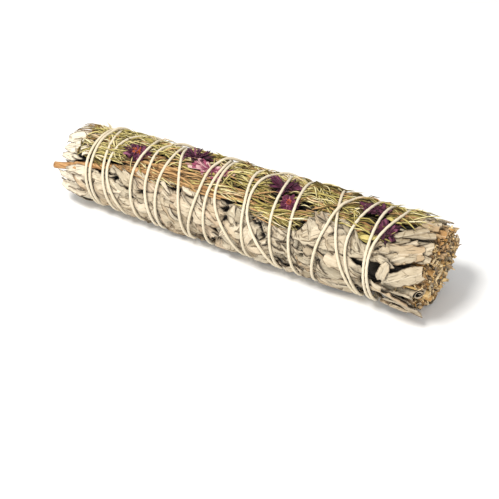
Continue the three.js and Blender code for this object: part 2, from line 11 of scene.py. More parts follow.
import bpy
import numpy as np
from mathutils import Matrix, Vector


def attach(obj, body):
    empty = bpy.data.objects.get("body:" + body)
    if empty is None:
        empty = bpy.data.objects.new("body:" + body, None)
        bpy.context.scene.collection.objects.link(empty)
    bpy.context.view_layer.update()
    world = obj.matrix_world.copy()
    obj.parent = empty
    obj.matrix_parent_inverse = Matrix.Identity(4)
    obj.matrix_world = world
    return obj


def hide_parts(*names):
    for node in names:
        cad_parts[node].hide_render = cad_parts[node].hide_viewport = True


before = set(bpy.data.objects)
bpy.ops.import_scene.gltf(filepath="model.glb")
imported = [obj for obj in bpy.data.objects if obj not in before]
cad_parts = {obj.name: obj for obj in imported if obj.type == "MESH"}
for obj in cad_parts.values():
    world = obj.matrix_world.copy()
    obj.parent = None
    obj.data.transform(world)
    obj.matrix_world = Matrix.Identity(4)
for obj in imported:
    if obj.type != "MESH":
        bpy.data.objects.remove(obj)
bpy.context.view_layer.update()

MM = 0.001

# The whole bundle
LENGTH = 214.0
HALF = LENGTH / 2
TIP_RADIUS = 19.5
CUT_RADIUS = 23.8
TIP_ROUNDING = 16.0
TIP_SHARE = 0.62
FLAT_DEPTH = 1.5
STRING_ROOM = 2.5
SPRIGS = 6
SECTOR = 60.0
# The pressed leaves that it rests on: the middle and length of the flat spot
RESTS = [(-60.5, 10.0), (-2.5, 18.0), (93.0, 20.0)]
# A radius or length that sets no limit
FREE = 1e9

# The strip of fine leaves along the top and front: how deep it lies, its end at the cut stems, its upper
# edge as an angle, and its lower edge as x and angle
STRIP_BED = 3.8
STRIP_CUT = 96.0
STRIP_TOP = 134.0
STRIP_EDGE = [
    (-92, 29), (-79, 35), (-70, 40), (-61, 43), (-49, 45), (-26, 46), (-14, 46), (-4, 40), (10, 41),
    (21, 41), (27, 35), (38, 34), (41, 56), (46, 66), (52, 71), (58, 68), (64, 56), (72, 44), (76, 52),
    (81, 60), (87, 70), (91, 80), (96, 92),
]

# Cotton string: its radius, how far apart turns that cross lie, how far it runs while its strands turn
# once, its route's step in degrees, the steps that a rise spreads over, and where it crosses these angles
# on each turn, out to the tip end and back
STRING_RADIUS = 0.72
STRING_APART = 1.6
STRING_LAY = 4.2
ROUTE_STEP = 2.5
ROUTE_REACH = 4
TURN_ANGLES = [-90, -30, 40, 110, 190]
TURNS = [
    [80.0, 79.6, 77.3, 84.0, 77.0],
    [72.2, 71.3, 64.0, 68.2, 69.3],
    [69.4, 69.0, 58.0, 49.3, 42.0],
    [39.5, 37.5, 33.0, 30.4, 29.0],
    [28.0, 27.0, 22.2, 19.8, 8.0],
    [7.0, 5.0, -10.0, -12.4, -13.0],
    [-13.2, -13.6, -15.1, -14.8, -25.0],
    [-26.5, -27.0, -31.6, -40.8, -41.6],
    [-42.3, -42.5, -43.8, -43.3, -51.0],
    [-54.0, -56.2, -59.2, -58.8, -67.5],
    [-70.0, -72.0, -76.8, -81.0, -86.5],
    [-84.8, -83.6, -87.0, -86.0, -84.2],
    [-81.2, -81.0, -84.4, -83.6, -69.5],
    [-67.0, -66.0, -74.3, -71.0, -53.0],
    [-48.5, -46.3, -50.8, -50.4, -27.0],
    [-23.5, -24.2, -20.4, -17.2, 6.0],
    [10.0, 9.6, 6.6, 3.4, 15.0],
    [24.0, 24.3, 8.8, 10.8, 36.0],
    [46.5, 47.5, 50.3, 58.1, 74.5],
    [77.3, 77.2, 75.2, 75.4, 80.0],
]
FIRST_TAIL = [(-178, 93), (-160, 88)]
LAST_TAIL = [(206, 86), (219, 90.5), (230, 95)]
# The knot: its place, half its width and the radius of its strand
KNOT = {"x": 86.8, "angle": 208, "size": 1.7, "strand": 0.75}

# The tan twig, as x, angle, depth under the outline and radius, its knots as x, and its side shoots as x,
# the angle they point to and length
TWIG = [
    (-107.5, 15, 0.8, 1.8), (-100, 20.5, 1.4, 1.9), (-92, 28.5, 2.1, 1.9), (-83, 36.5, 2.2, 1.9),
    (-68, 44, 2.0, 1.8), (-51, 50, 1.7, 1.5), (-34, 54, 1.4, 1.3), (-10, 53, 1.3, 1.1),
    (15, 51, 1.2, 1.0), (42, 52, 1.0, 0.8),
]
TWIG_KNOTS = [-94, -79, -58, -36, -12, 14]
TWIG_SHOOTS = [(-58, 34, 9), (-36, 64, 11), (-12, 44, 10), (14, 62, 9)]

# Sprays of fine leaves: from and to along the bundle, the angle, and how far it turns on the way
SPRAYS = [
    (-91, -72, 66, 0), (-52, 21, 65, 0), (40, 59, 77, 0), (-91, -72, 90, 0), (-8, 11, 90, 0),
    (30, 60, 90, 0), (79, 95, 92, 0), (-92, -8, 117, 0), (-2, 92, 117, 0), (60, 80, 64, -16),
    (16, 40, 38, 0),
]
# How far a spray's needles spread to each side
LANE = 4.3
# Sprays that differ: the brown one beside the twig, the wide one at the back of the strip, the one with
# wisps at the tip end, those with many broad leaflets, and how many tufts the first two and the rest have
# in a millimetre
BROWN_SPRAY = 1
WIDE_SPRAY = 7
TIP_SPRAY = 3
BROAD_LEAFLETS = (2, 6, 9)
TUFTS = {BROWN_SPRAY: 0.6, WIDE_SPRAY: 0.85}
EVEN_TUFTS = 0.42
# The tone of brown needles
BROWN = 1.0
WISPS = 16
# A strand's width along it, as shares of its radius: one that tapers and one with a blunt end
TAPER = (0.7, 1, 1, 1, 0.9, 0.6, 0.12)
BLUNT = (0.9, 1, 1, 1, 1, 0.9, 0.8)

# Papery flowers: x, angle, half length along the bundle and half width
FLOWERS = [
    (-63, 77, 7.4, 6.4), (-33, 103, 9.0, 5.6), (-20, 83, 11.5, 5.6), (20.5, 92, 8.2, 5.4),
    (28, 67, 4.6, 4.6), (69, 97, 7.6, 4.8), (80, 68, 6.6, 6.2),
]
# Flowers that differ: the pale one, the one without pale roots, the magenta ones, those with an orange
# heart, the range of tone of two, and how far the petals of three stand up
PALE_FLOWER = 2
DARK_FLOWER = 4
MAGENTA_FLOWERS = (2, 4)
HEARTED_FLOWERS = (0, 4)
FLOWER_TONES = {0: (0.0, 0.85), 4: (-0.1, 0.18)}
FLOWER_LIFT = {1: 2.0, 3: 1.5, 5: 1.5}
FLOWER_STRANDS = 70

# Height that no fine leaf passes
HIGHEST = 48.0

# Leaves that stand out in the picture: from x and angle to x and angle at the tip, half width, depth,
# fold (below 0 raises the middle), how far the tip lifts, and tone
PLACED_LEAVES = [
    (77, 36, 99, 64, 1.6, 0.0, -1.2, 1.5, 0.5), (75, 46, 94, 64, 2.4, 0.9, 0.4, 0.6, 0.05),
    (80, 58, 100, 82, 2.6, 0.9, -0.6, 1.0, 0.1), (84, 74, 103, 98, 1.7, 0.6, -1.0, 1.5, 0.0),
    (88, 33, 106, 62, 3.4, 0.3, -0.9, 1.8, 0.45), (80, 33, 91, 28, 2.2, 0.7, 0.3, 0.2, 0.45),
    (84.5, 6, 87.5, 31, 2.6, 0.0, 0.2, 0.2, 0.5), (85.5, 2, 106, 33, 4.4, 0.3, -1.2, 1.6, 0.4),
    (85, -11, 101, -2, 2.2, 0.2, -0.7, 0.9, 0.45), (84, -18, 100, -13, 3.0, 0.7, 0.7, 0.6, 0.5),
    (80, -34, 105, -29, 4.6, 0.9, -0.8, 0.8, 0.35),
    (86, -46, 105, -40, 3.8, 1.0, 0.6, 0.5, 0.2), (92, 84, 104, 104, 1.6, 1.0, -0.8, 1.0, 0.05),
    (92, 48, 106, 46, 2.6, 1.0, 0.5, 0.8, 0.3), (76, -4, 96, -20, 3.2, 0.3, 0.5, 0.4, 0.5),
    (77, 26, 92, 45, 1.8, 1.4, 0.4, 0.3, 0.2), (86, 68, 105, 76, 2.6, 0.6, 0.6, 1.2, 0.15),
    (-84, 62, -104, 53, 4.2, 0.4, -0.6, 0.8, 0.5), (-84, 76, -106.5, 70, 4.0, 0.5, 0.5, 0.5, 0.5),
    (-86, 92, -106.5, 90, 4.0, 0.9, -0.5, 0.4, 0.45), (-86, 108, -106, 108, 4.0, 1.0, 0.5, 0.4, 0.4),
    (-86, 42, -98, 40, 1.6, 1.4, 0.2, 0.0, 0.5), (-92, 46, -104.5, 37, 2.6, 1.2, 0.3, 0.8, 0.5),
    (-85, 11, -105, 3, 3.6, 0.4, -0.7, 0.8, 0.45), (-83, -8, -104, -15, 3.8, 0.5, 0.6, 0.9, 0.9),
    (-80, 25, -99, 17, 3.0, 0.3, 0.4, 0.4, 0.5), (-62, 21, -87, 13, 5.6, 0.2, -0.6, 0.2, 0.5),
    (-8, 13, -32, 23, 6.4, 0.2, -0.5, 0.2, 0.4), (7, 25, -5, -9, 3.2, 0.3, -0.6, 0.3, 0.5),
    (16, 35, 8, -17, 3.5, 0.1, 0.5, 0.3, 0.45), (30, 32, 25, -8, 3.8, 0.3, -0.6, 0.3, 0.3),
    (55, 61, 40, 33, 5.4, 0.1, -0.4, 0.1, 0.5), (72, 43, 52, 29, 5.2, 0.3, 0.5, 0.3, 0.45),
    (74, 5, 55, 15, 5.0, 0.2, -0.6, 0.3, 0.5), (-33, 12, -56, 8, 4.8, 0.4, 0.5, 0.3, 0.3),
    (-40, -10, -64, -14, 5.0, 0.4, -0.6, 0.2, 0.5), (36, 12, 18, -2, 4.0, 0.5, 0.5, 0.3, 0.5),
]

# Leaves that are rolled up, as seen at the cut end: from, to, angle, size and turns
ROLLED_LEAVES = [
    (84, 107, -9, 4.4, 1.8), (85, 104, 74, 1.5, 1.2), (86, 103, 62, 1.3, 1.1), (88, 105, -32, 2.4, 1.5),
    (87, 104, 48, 2.0, 1.3), (86, 104, 150, 2.6, 1.6), (88, 105, 205, 2.2, 1.4), (84, 102, 84, 1.4, 1.1),
    (86, 105, -80, 2.0, 1.4),
]

# Cut stems: one in the middle and two rings round it, as count, distance from the axis and radii
STEM_RINGS = [(1, 0.0, 2.1, 2.2), (5, 7.6, 1.2, 1.7), (8, 14.4, 1.1, 1.8)]
# A stem's outline up to its cut end: share of its length, share of its radius, how far the pith is sunk and
# how pale it is
STEM_PROFILE = [
    (0.0, 0.6, 0, 0), (0.0, 1.0, 0, 0), (0.3, 1.0, 0, 0), (0.6, 1.0, 0, 0), (0.85, 1.02, 0, 0),
    (1.0, 1.0, 0, 0.1), (1.0, 0.94, 0, 0.5), (1.0, 0.66, 0, 0.7), (1.0, 0.56, -1, 1.0),
    (1.0, 0.3, -1.2, 0.9), (1.0, 0.03, -1.2, 0.8),
]

# The cut face, a low dome that leans out at the far side: its x in the middle, how far it falls and leans,
# the radius where it does so, and the angle of the far side
FACE = {"x": 107.4, "fall": 5.6, "lean": 5.5, "radius": 22, "angle": 125}
# What each sprig has at the cut end: leaf stalks, chips with ranges of half length, half width and curl,
# and standing strips of cut leaf, which start at an x. At the tip end: leaf points, which start at an x
STALKS = 26
CHIPS = 84
CHIP_RANGES = [(0.6, 2.1), (0.25, 0.95), (-0.6, 0.6)]
RIBBONS = 58
RIBBON_ROOT = 88
END_TIPS = 14
END_TIP_ROOT = -90

# The inside of each sprig, painted dark as shade: where it ends, its depth, the radius of its inner side
# and half its spread
CORE = {"end": 98, "depth": 5.4, "inside": 3.2, "spread": 32}
# Leaves strewn over each sprig: how many, their lengths, the room left at the tip end and at the cut end,
# how far they spread to each side and how much of a hollow they follow, then ranges in the order of drawing
LARGE_LEAVES = {"count": 18, "lengths": (28, 54), "room": (1, 6), "spread": 34}
MEDIUM_LEAVES = {
    "count": 40, "lengths": (18, 42), "room": (2, 8), "spread": 33, "hollow": 0.35, "half": (2.6, 6.2),
    "yaw": (-29, 18), "depth": (0.3, 2.0), "tilt": (0.9, 2.3), "sink": (0.8, 2.4), "cut": (0, 1),
    "bend": (-1.5, 1.5),
}
SMALL_LEAVES = {
    "count": 44, "lengths": (8, 22), "room": (3, 6), "spread": 33, "hollow": 0.2, "half": (0.8, 2.6),
    "yaw": (-30, 26), "depth": (-0.3, 0.6), "tilt": (0.3, 1.0), "sink": (0.1, 1.0), "cut": (0, 1),
    "bend": (-1, 1),
}
# Cut leaves past the last turn of string
LOOSE_LEAVES = 17
# Points along and across the large and the medium leaves, with finer ones on the shown side
FRONT_SPRIGS = (1, 2)
FRONT_GRIDS = ((42, 15), (20, 10))
BACK_GRIDS = ((20, 8), (14, 7))
LEAF_THICKNESS = 0.35
LEAFLET_THICKNESS = 0.25
# The angle from which an edge of a leaf looks sharp
LEAF_CREASE = 38
# Leaves lie only where the hollows are less deep than this
OPEN_HOLLOW = 2.0

# Hollows between the leaves, dark with real and painted shade: x, angle, half length, half width, depth
# and slant
HOLLOWS = [
    (-94, 46, 2.6, 1.5, 4.5, -22), (-69, 27, 2.4, 1.2, 5.0, 30), (-60, -2, 3.0, 1.8, 4.5, 80),
    (-57, 2, 3.0, 1.2, 5.0, 10), (-34, 39, 2.6, 1.2, 4.5, -22), (-4, 17, 2.6, 1.6, 5.0, 60),
    (-8, -28, 4.5, 2.2, 5.0, 30), (17, 24, 3.4, 1.3, 5.0, -45), (20, 12, 2.4, 1.3, 4.5, -70),
    (13, 28, 2.6, 1.1, 4.5, -45), (42, 5, 1.8, 1.2, 4.0, 60), (61, 46, 2.2, 1.1, 4.0, -60),
    (82, 16, 3.6, 2.2, 6.0, -75), (88, 37, 3.4, 1.7, 6.0, 60), (95, 1, 5.5, 1.3, 5.0, 22),
    (84, -4, 3.0, 1.8, 5.0, 22), (98, 42, 2.8, 1.4, 5.0, 60), (82, 50, 4.0, 1.0, 5.0, 45),
    (73, 48, 2.2, 0.9, 4.0, 45), (58, 30, 3.2, 0.8, 4.5, -22), (-40, 20, 2.2, 1.1, 4.5, -40),
    (-52, 18, 2.6, 1.3, 5.0, 30), (-22, 1, 2.0, 1.0, 4.0, 50), (-4, 33, 3.0, 1.8, 5.0, 40),
    (-20, -20, 3.0, 1.0, 4.5, -50), (5, -28, 3.0, 1.4, 4.5, 60), (43, -18, 2.6, 1.0, 4.5, 60),
    (-76, -12, 2.4, 1.0, 4.0, -30), (-24, -12, 2.0, 1.1, 4.0, 50), (-48, -22, 3.0, 1.2, 4.5, 60),
    (31, -14, 2.4, 1.1, 4.0, -60), (66, -8, 2.4, 1.2, 4.5, -22), (-83, 8, 2.2, 1.2, 4.5, 60),
    (74, -6, 4.5, 1.1, 4.5, 75), (50, -3, 2.6, 1.2, 4.5, 65), (24, 0, 3.6, 1.1, 4.5, -70),
    (-35, -28, 3.0, 1.6, 4.5, -70), (96, 62, 2.4, 1.0, 4.5, 22), (80, -28, 2.4, 1.4, 4.5, 80),
]
# Ranges of the hollows strewn over the back, and their slant
BACK_HOLLOWS = 34
BACK_RANGES = [(-95, 95), (135, 330), (2.4, 4.2), (1.5, 2.6), (3.5, 5)]
BACK_SLANT = -22

# The stage: half the floor's side, and lamps as name, energy, size, place in metres and colour
FLOOR_HALF = 4.0
LAMPS = [
    ("key", 7.5, 0.3, (-0.16, -0.34, 0.85), (1.0, 0.985, 0.96)),
    ("fill", 3.4, 0.5, (0.42, -0.84, 0.35), (1.0, 0.99, 0.97)),
]
LIT_PLACE = (0, 0, 0.02)
WORLD_STRENGTH = 0.55
# The camera: distance in metres, turn and rise in degrees, what it looks at, and the photo's size and focal
# length in pixels
CAMERA = {"distance": 0.8, "yaw": 28.5, "rise": 39.1, "target": (0.0009, 0, -0.0056)}
SENSOR = 36
PHOTO_SIZE = 499
PHOTO_FOCAL = 1525.5

# Numbers and surfaces

def smoothstep(value, low, high):
    share = np.clip((value - low) / (high - low), 0, 1)
    return share * share * (3 - 2 * share)


class Draw:
    """A repeatable draw: Draw(seed)(low, high) gives the next number of that range."""

    MASK = 0xFFFFFFFF

    def __init__(self, seed):
        self.state = seed

    def __call__(self, low, high):
        mask = self.MASK
        self.state = (self.state + 0x6D2B79F5) & mask
        state = self.state
        mixed = ((state ^ (state >> 15)) * (1 | state)) & mask
        mixed = ((mixed + (((mixed ^ (mixed >> 7)) * (61 | mixed)) & mask)) & mask) ^ mixed
        return low + (high - low) * ((mixed ^ (mixed >> 14)) & mask) / 2 ** 32


def stacked(*parts):
    """Points from their x, y and z, broadcast together."""
    return np.stack(np.broadcast_arrays(*parts), axis=-1)


def unit(vectors):
    """The vectors, each with a length of 1."""
    return vectors / np.linalg.norm(vectors, axis=-1, keepdims=True)


def noise(points, size, seed=0):
    """Smooth noise from -1 to 1 at points (..., 3), with bumps of about the given size."""
    scaled = np.asarray(points, float) / size + 31.7 * seed
    cell = np.floor(scaled).astype(np.int64)
    share = scaled - cell
    share = share * share * (3 - 2 * share)
    total = np.zeros(scaled.shape[:-1])
    for corner in range(8):
        step = np.array([corner & 1, (corner >> 1) & 1, corner >> 2])
        at = cell + step
        mixed = (at[..., 0] * 374761393 + at[..., 1] * 668265263 + at[..., 2] * 1274126177) & 0xFFFFFFFF
        mixed = ((mixed ^ (mixed >> 13)) * 1103515245) & 0xFFFFFFFF
        value = ((mixed ^ (mixed >> 16)) & 0xFFFF) / 32767.5 - 1
        total += np.prod(np.where(step == 1, share, 1 - share), axis=-1) * value
    return total


def wobble(points, size, seed):
    """A shift in x, y and z by noise."""
    return np.stack([noise(points, size, seed + k) for k in range(3)], axis=-1)


def even_radius(x):
    return TIP_RADIUS + (CUT_RADIUS - TIP_RADIUS) * (x + HALF) / LENGTH


def axis_height(x):
    return even_radius(x) - FLAT_DEPTH


def axis_point(x):
    """The y and z of the axis at x."""
    return np.stack([0 * x, axis_height(x)], axis=-1)


def wrapped(angle):
    return (np.asarray(angle) + 180) % 360 - 180


def arc(turn, x):
    """The way round the bundle that a turn in degrees makes at x."""
    return np.radians(wrapped(turn)) * even_radius(x)


def turn_of(way, x):
    """The turn in degrees that a way round the bundle makes at x."""
    return np.degrees(way / even_radius(x))


def place(x, angle, radius):
    turn = np.radians(angle)
    return stacked(x, -radius * np.cos(turn), axis_height(x) + radius * np.sin(turn))


def even_place(x, angle):
    """A place on the even surface, which has no waves and no rounded end."""
    return place(x, angle, even_radius(x))


def directions(angle):
    """The directions away from the axis and round it, at an angle."""
    turn = math.radians(angle)
    return np.array([0, -math.cos(turn), math.sin(turn)]), np.array([0, math.sin(turn), math.cos(turn)])


def outline(x, angle):
    """The radius of the bundle's outline, which the string lies on."""
    turn = np.radians(angle)
    waves = 1 + 0.012 * np.sin(x / 13 + 2 * turn) + 0.01 * np.sin(x / 29 - 3 * turn)
    from_tip = np.clip((x + HALF) / TIP_ROUNDING, 0, 1)
    rounding = TIP_SHARE + (1 - TIP_SHARE) * np.sqrt(1 - (1 - from_tip) ** 2)
    down = -np.sin(turn)
    flat = np.where(down > 0.05, (axis_height(x) - STRING_ROOM) / np.maximum(down, 0.05), FREE)
    return np.minimum(even_radius(x) * waves * rounding, flat)


def strip_edge(x):
    return np.interp(x, *zip(*STRIP_EDGE))


def strip_depth(x, angle):
    """How far the sage leaves lie under the outline, where the fine leaves cover them."""
    edge = strip_edge(x) + 2.5 * np.sin(x / 3.1) + 1.5 * np.sin(x / 1.3 + 1)
    turned = wrapped(angle)
    front = smoothstep(turned, edge + 1, edge + 7)
    back = 1 - smoothstep(turned, STRIP_TOP - 3, STRIP_TOP + 5)
    ends = smoothstep(x, -95, -89) * (1 - smoothstep(x, STRIP_CUT - 6, STRIP_CUT))
    return STRIP_BED * front * back * ends


# The string's route

def route_points():
    """The string's crossings from tail to tail, as the angle it has wound through and x."""
    points = list(FIRST_TAIL)
    for i, turn in enumerate(TURNS):
        points += [(360 * i + TURN_ANGLES[j], x) for j, x in enumerate(turn)]
    last = 360 * (len(TURNS) - 1)
    return points + [(last + angle, x) for angle, x in LAST_TAIL]


def smooth_route(points, step):
    """A smooth curve through points in rising angle, sampled at the step in degrees."""
    def slope(i):
        before, after = points[max(i - 1, 0)], points[min(i + 1, len(points) - 1)]
        return (after[1] - before[1]) / (after[0] - before[0])

    samples = []
    for i in range(len(points) - 1):
        (start, first), (end, second) = points[i], points[i + 1]
        span = end - start
        count = max(1, round(span / step))
        for k in range(count):
            t = k / count
            value = (first * (2 * t ** 3 - 3 * t ** 2 + 1) + second * (3 * t ** 2 - 2 * t ** 3)
                     + span * (slope(i) * (t ** 3 - 2 * t ** 2 + t) + slope(i + 1) * (t ** 3 - t ** 2)))
            samples.append((start + span * t, value))
    samples.append(points[-1])
    return np.array(samples)


def spread_smooth(values, reach):
    """Each value raised to its neighbours' highest within reach, then smoothed along the line."""
    padded = np.pad(values, reach, mode="edge")
    highest = np.max([padded[k:k + len(values)] for k in range(2 * reach + 1)], axis=0)
    padded = np.pad(highest, reach, mode="edge")
    weights = np.hanning(2 * reach + 3)[1:-1]
    return sum(w * padded[k:k + len(values)] for k, w in enumerate(weights)) / weights.sum()


def route_lifts(samples):
    """How far each sample of the route rides up over the turns laid before it."""
    angle, x = samples.T
    lifts = np.zeros(len(samples))
    for i in range(len(samples)):
        apart = np.hypot(x[i] - x[:i], arc(angle[i] - angle[:i], x[i]))
        near = (angle[i] - angle[:i] > 90) & (apart < STRING_APART)
        if near.any():
            lifts[i] = (lifts[:i][near] + np.sqrt(STRING_APART ** 2 - apart[near] ** 2)).max()
    return lifts


route = smooth_route(route_points(), ROUTE_STEP)
route_lift = spread_smooth(route_lifts(route), ROUTE_REACH)

GAP_X = np.arange(-125.0, 126.0, 1.0)
GAP_STEP = 3.0
GAP_ANGLE = np.arange(0.0, 360.0, GAP_STEP)
WIDEST_GAP = 16.0


def gap_table():
    """How far each place on the bundle is from the nearest string, up to the widest gap."""
    angle, x = route.T
    table = np.full((len(GAP_X), len(GAP_ANGLE)), WIDEST_GAP)
    for i, here in enumerate(GAP_X):
        close = np.abs(x - here) < WIDEST_GAP
        if close.any():
            way = arc(GAP_ANGLE[:, None] - angle[close], here)
            table[i] = np.minimum(np.hypot(x[close] - here, way).min(axis=1), WIDEST_GAP)
    return table


gaps = gap_table()


def string_gap(x, angle):
    """How far a place is from the nearest string, read between the values of the table."""
    at_x = np.clip((np.asarray(x) - GAP_X[0]), 0, len(GAP_X) - 1.001)
    at_angle = (np.asarray(angle) % 360) / GAP_STEP
    i = at_x.astype(int)
    j = at_angle.astype(int) % len(GAP_ANGLE)
    share_x = at_x - i
    share_angle = at_angle - np.floor(at_angle)
    following = (j + 1) % len(GAP_ANGLE)
    low, high = (gaps[k, j] * (1 - share_angle) + gaps[k, following] * share_angle for k in (i, i + 1))
    return low * (1 - share_x) + high * share_x


def back_hollows():
    """Hollows strewn over the sides that no photo shows."""
    draw = np.random.default_rng(77)
    return [(*(draw.uniform(*span) for span in BACK_RANGES), BACK_SLANT) for _ in range(BACK_HOLLOWS)]


hollows = HOLLOWS + back_hollows()


def hollow_depth(x, angle):
    """How far the leaves sink into the hollows, which are dark with real and painted shade."""
    total = 0.0
    ragged = 1 + 0.5 * noise(even_place(x, angle), 1.7, 6)
    for at, turn, half_length, half_width, depth, slant in hollows:
        way = arc(angle - turn, at)
        cosine, sine = math.cos(math.radians(slant)), math.sin(math.radians(slant))
        ahead = cosine * (x - at) + sine * way
        aside = cosine * way - sine * (x - at)
        inside = ragged * ((ahead / half_length) ** 2 + (aside / half_width) ** 2)
        total = total + depth * np.exp(-inside ** 3)
    return total


def bulged(x, angle):
    """The outline with the leaves swelling out between the turns of the string."""
    gap = string_gap(x, angle)
    swell = (0.75 + 0.55 * noise(even_place(x, angle), 13, 5)) * smoothstep(gap, 0.8, 6.0)
    press = 0.3 * (1 - smoothstep(gap, 0.4, 2.0))
    return outline(x, angle) + swell - press


def sheath(x, angle):
    """The surface of the fine leaves, which swell a little between the turns of the string."""
    gap = string_gap(x, angle)
    return outline(x, angle) + 0.8 * smoothstep(gap, 0.8, 4.0) - 0.2 * (1 - smoothstep(gap, 0.5, 1.5))


# Mesh building

class Piece:
    """Gathers vertices, four-sided faces and values per vertex, and makes one object of them."""

    def __init__(self, name):
        self.name = name
        self.points = []
        self.faces = []
        self.values = {}
        self.count = 0

    def add(self, points, faces, **values):
        """Takes in points and faces. A value that only some of them have is 0 for the others."""
        self.points.append(points.reshape(-1, 3))
        self.faces.append(faces.reshape(-1, 4) + self.count)
        for key in self.values | values:
            parts = self.values.setdefault(key, [np.zeros(self.count)] if self.count else [])
            parts.append(np.broadcast_to(values.get(key, 0.0), points.shape[:-1]).reshape(-1))
        self.count += points.size // 3

    def slabs(self, outer, inner, **values):
        """Closed slabs between two grids of points, (slabs, lengths, widths, 3), or a single slab."""
        if outer.ndim == 3:
            outer, inner = outer[None], inner[None]
        n, a, b = outer.shape[:3]
        grid = np.arange(a * b).reshape(a, b)
        top = np.stack([grid[:-1, :-1], grid[1:, :-1], grid[1:, 1:], grid[:-1, 1:]], -1).reshape(-1, 4)
        below = top[:, ::-1] + a * b
        ring = np.concatenate([grid[:-1, 0], grid[-1, :-1], grid[:0:-1, -1], grid[0, :0:-1]])
        ahead = np.roll(ring, -1)
        rim = np.stack([ring, ring + a * b, ahead + a * b, ahead], -1)
        one = np.concatenate([top, below, rim])
        faces = one[None] + (2 * a * b * np.arange(n))[:, None, None]
        spread = {key: np.broadcast_to(value, outer.shape[:-1]) for key, value in values.items()}
        self.add(np.stack([outer, inner], axis=1), faces,
                 **{key: np.stack([full, full], axis=1) for key, full in spread.items()})

    def tubes(self, paths, radii, sides, lobes=None, **values):
        """Closed tubes along paths (tubes, stations, 3), or along one path. lobes shapes their section."""
        if paths.ndim == 2:
            paths = paths[None]
        n, k = paths.shape[:2]
        radii = np.broadcast_to(radii, (n, k))
        ahead = np.gradient(paths, axis=1)
        ahead /= np.linalg.norm(ahead, axis=-1, keepdims=True) + 1e-9
        away = np.zeros_like(paths)
        away[..., 1:] = paths[..., 1:] - axis_point(paths[..., 0])
        away += np.array([0.0013, 0.0021, 0.0034])
        up = unit(away - (away * ahead).sum(-1, keepdims=True) * ahead)
        side = np.cross(ahead, up)
        turn = 2 * np.pi * np.arange(sides) / sides
        reach = radii[..., None] * (np.ones(sides) if lobes is None else lobes(turn))
        ring = (paths[..., None, :] + (reach * np.cos(turn))[..., None] * up[..., None, :]
                + (reach * np.sin(turn))[..., None] * side[..., None, :])
        caps = np.stack([paths[:, 0], paths[:, -1]], axis=1)[:, :, None] + np.zeros((1, 1, sides, 1))
        small = 0.03 * (ring[:, [0, -1]] - caps) / (radii[:, [0, -1], None, None] + 1e-9)
        ring = np.concatenate([caps[:, :1] + small[:, :1], ring, caps[:, 1:] + small[:, 1:]], axis=1)
        spread = {}
        for key, value in values.items():
            full = np.broadcast_to(value, (n, k))
            full = np.concatenate([full[:, :1], full, full[:, -1:]], axis=1)
            spread[key] = np.broadcast_to(full[..., None], (n, k + 2, sides))
        grid = np.arange((k + 2) * sides).reshape(k + 2, sides)
        following = np.roll(grid, -1, axis=1)
        one = np.stack([grid[:-1], following[:-1], following[1:], grid[1:]], -1).reshape(-1, 4)
        faces = one[None] + ((k + 2) * sides * np.arange(n))[:, None, None]
        self.add(ring, faces, **spread)

    def finish(self, material, slot, replaces=(), sharp=0):
        points = np.concatenate(self.points)
        points[:, 2] = np.maximum(points[:, 2], 0.0)
        faces = np.concatenate(self.faces)
        mesh = bpy.data.meshes.new(self.name)
        mesh.vertices.add(len(points))
        mesh.vertices.foreach_set("co", (points * MM).astype(np.float32).ravel())
        mesh.loops.add(4 * len(faces))
        mesh.loops.foreach_set("vertex_index", faces.astype(np.int32).ravel())
        mesh.polygons.add(len(faces))
        mesh.polygons.foreach_set("loop_start", np.arange(0, 4 * len(faces), 4, dtype=np.int32))
        mesh.polygons.foreach_set("use_smooth", np.ones(len(faces), bool))
        for key, parts in self.values.items():
            attribute = mesh.attributes.new(key, "FLOAT", "POINT")
            attribute.data.foreach_set("value", np.concatenate(parts).astype(np.float32))
        mesh.update(calc_edges=True)
        if sharp:
            mesh.set_sharp_from_angle(angle=math.radians(sharp))
        mesh.validate()
        mesh.materials.append(material)
        piece = bpy.data.objects.new(self.name, mesh)
        bpy.context.scene.collection.objects.link(piece)
        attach(piece, "root")
        if replaces:
            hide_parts(*replaces)


# Materials

def linear(red, green, blue):
    """A colour given as 0 to 255 on screen, as the shader wants it."""
    return tuple((c / 255) ** 2.2 for c in (red, green, blue)) + (1.0,)


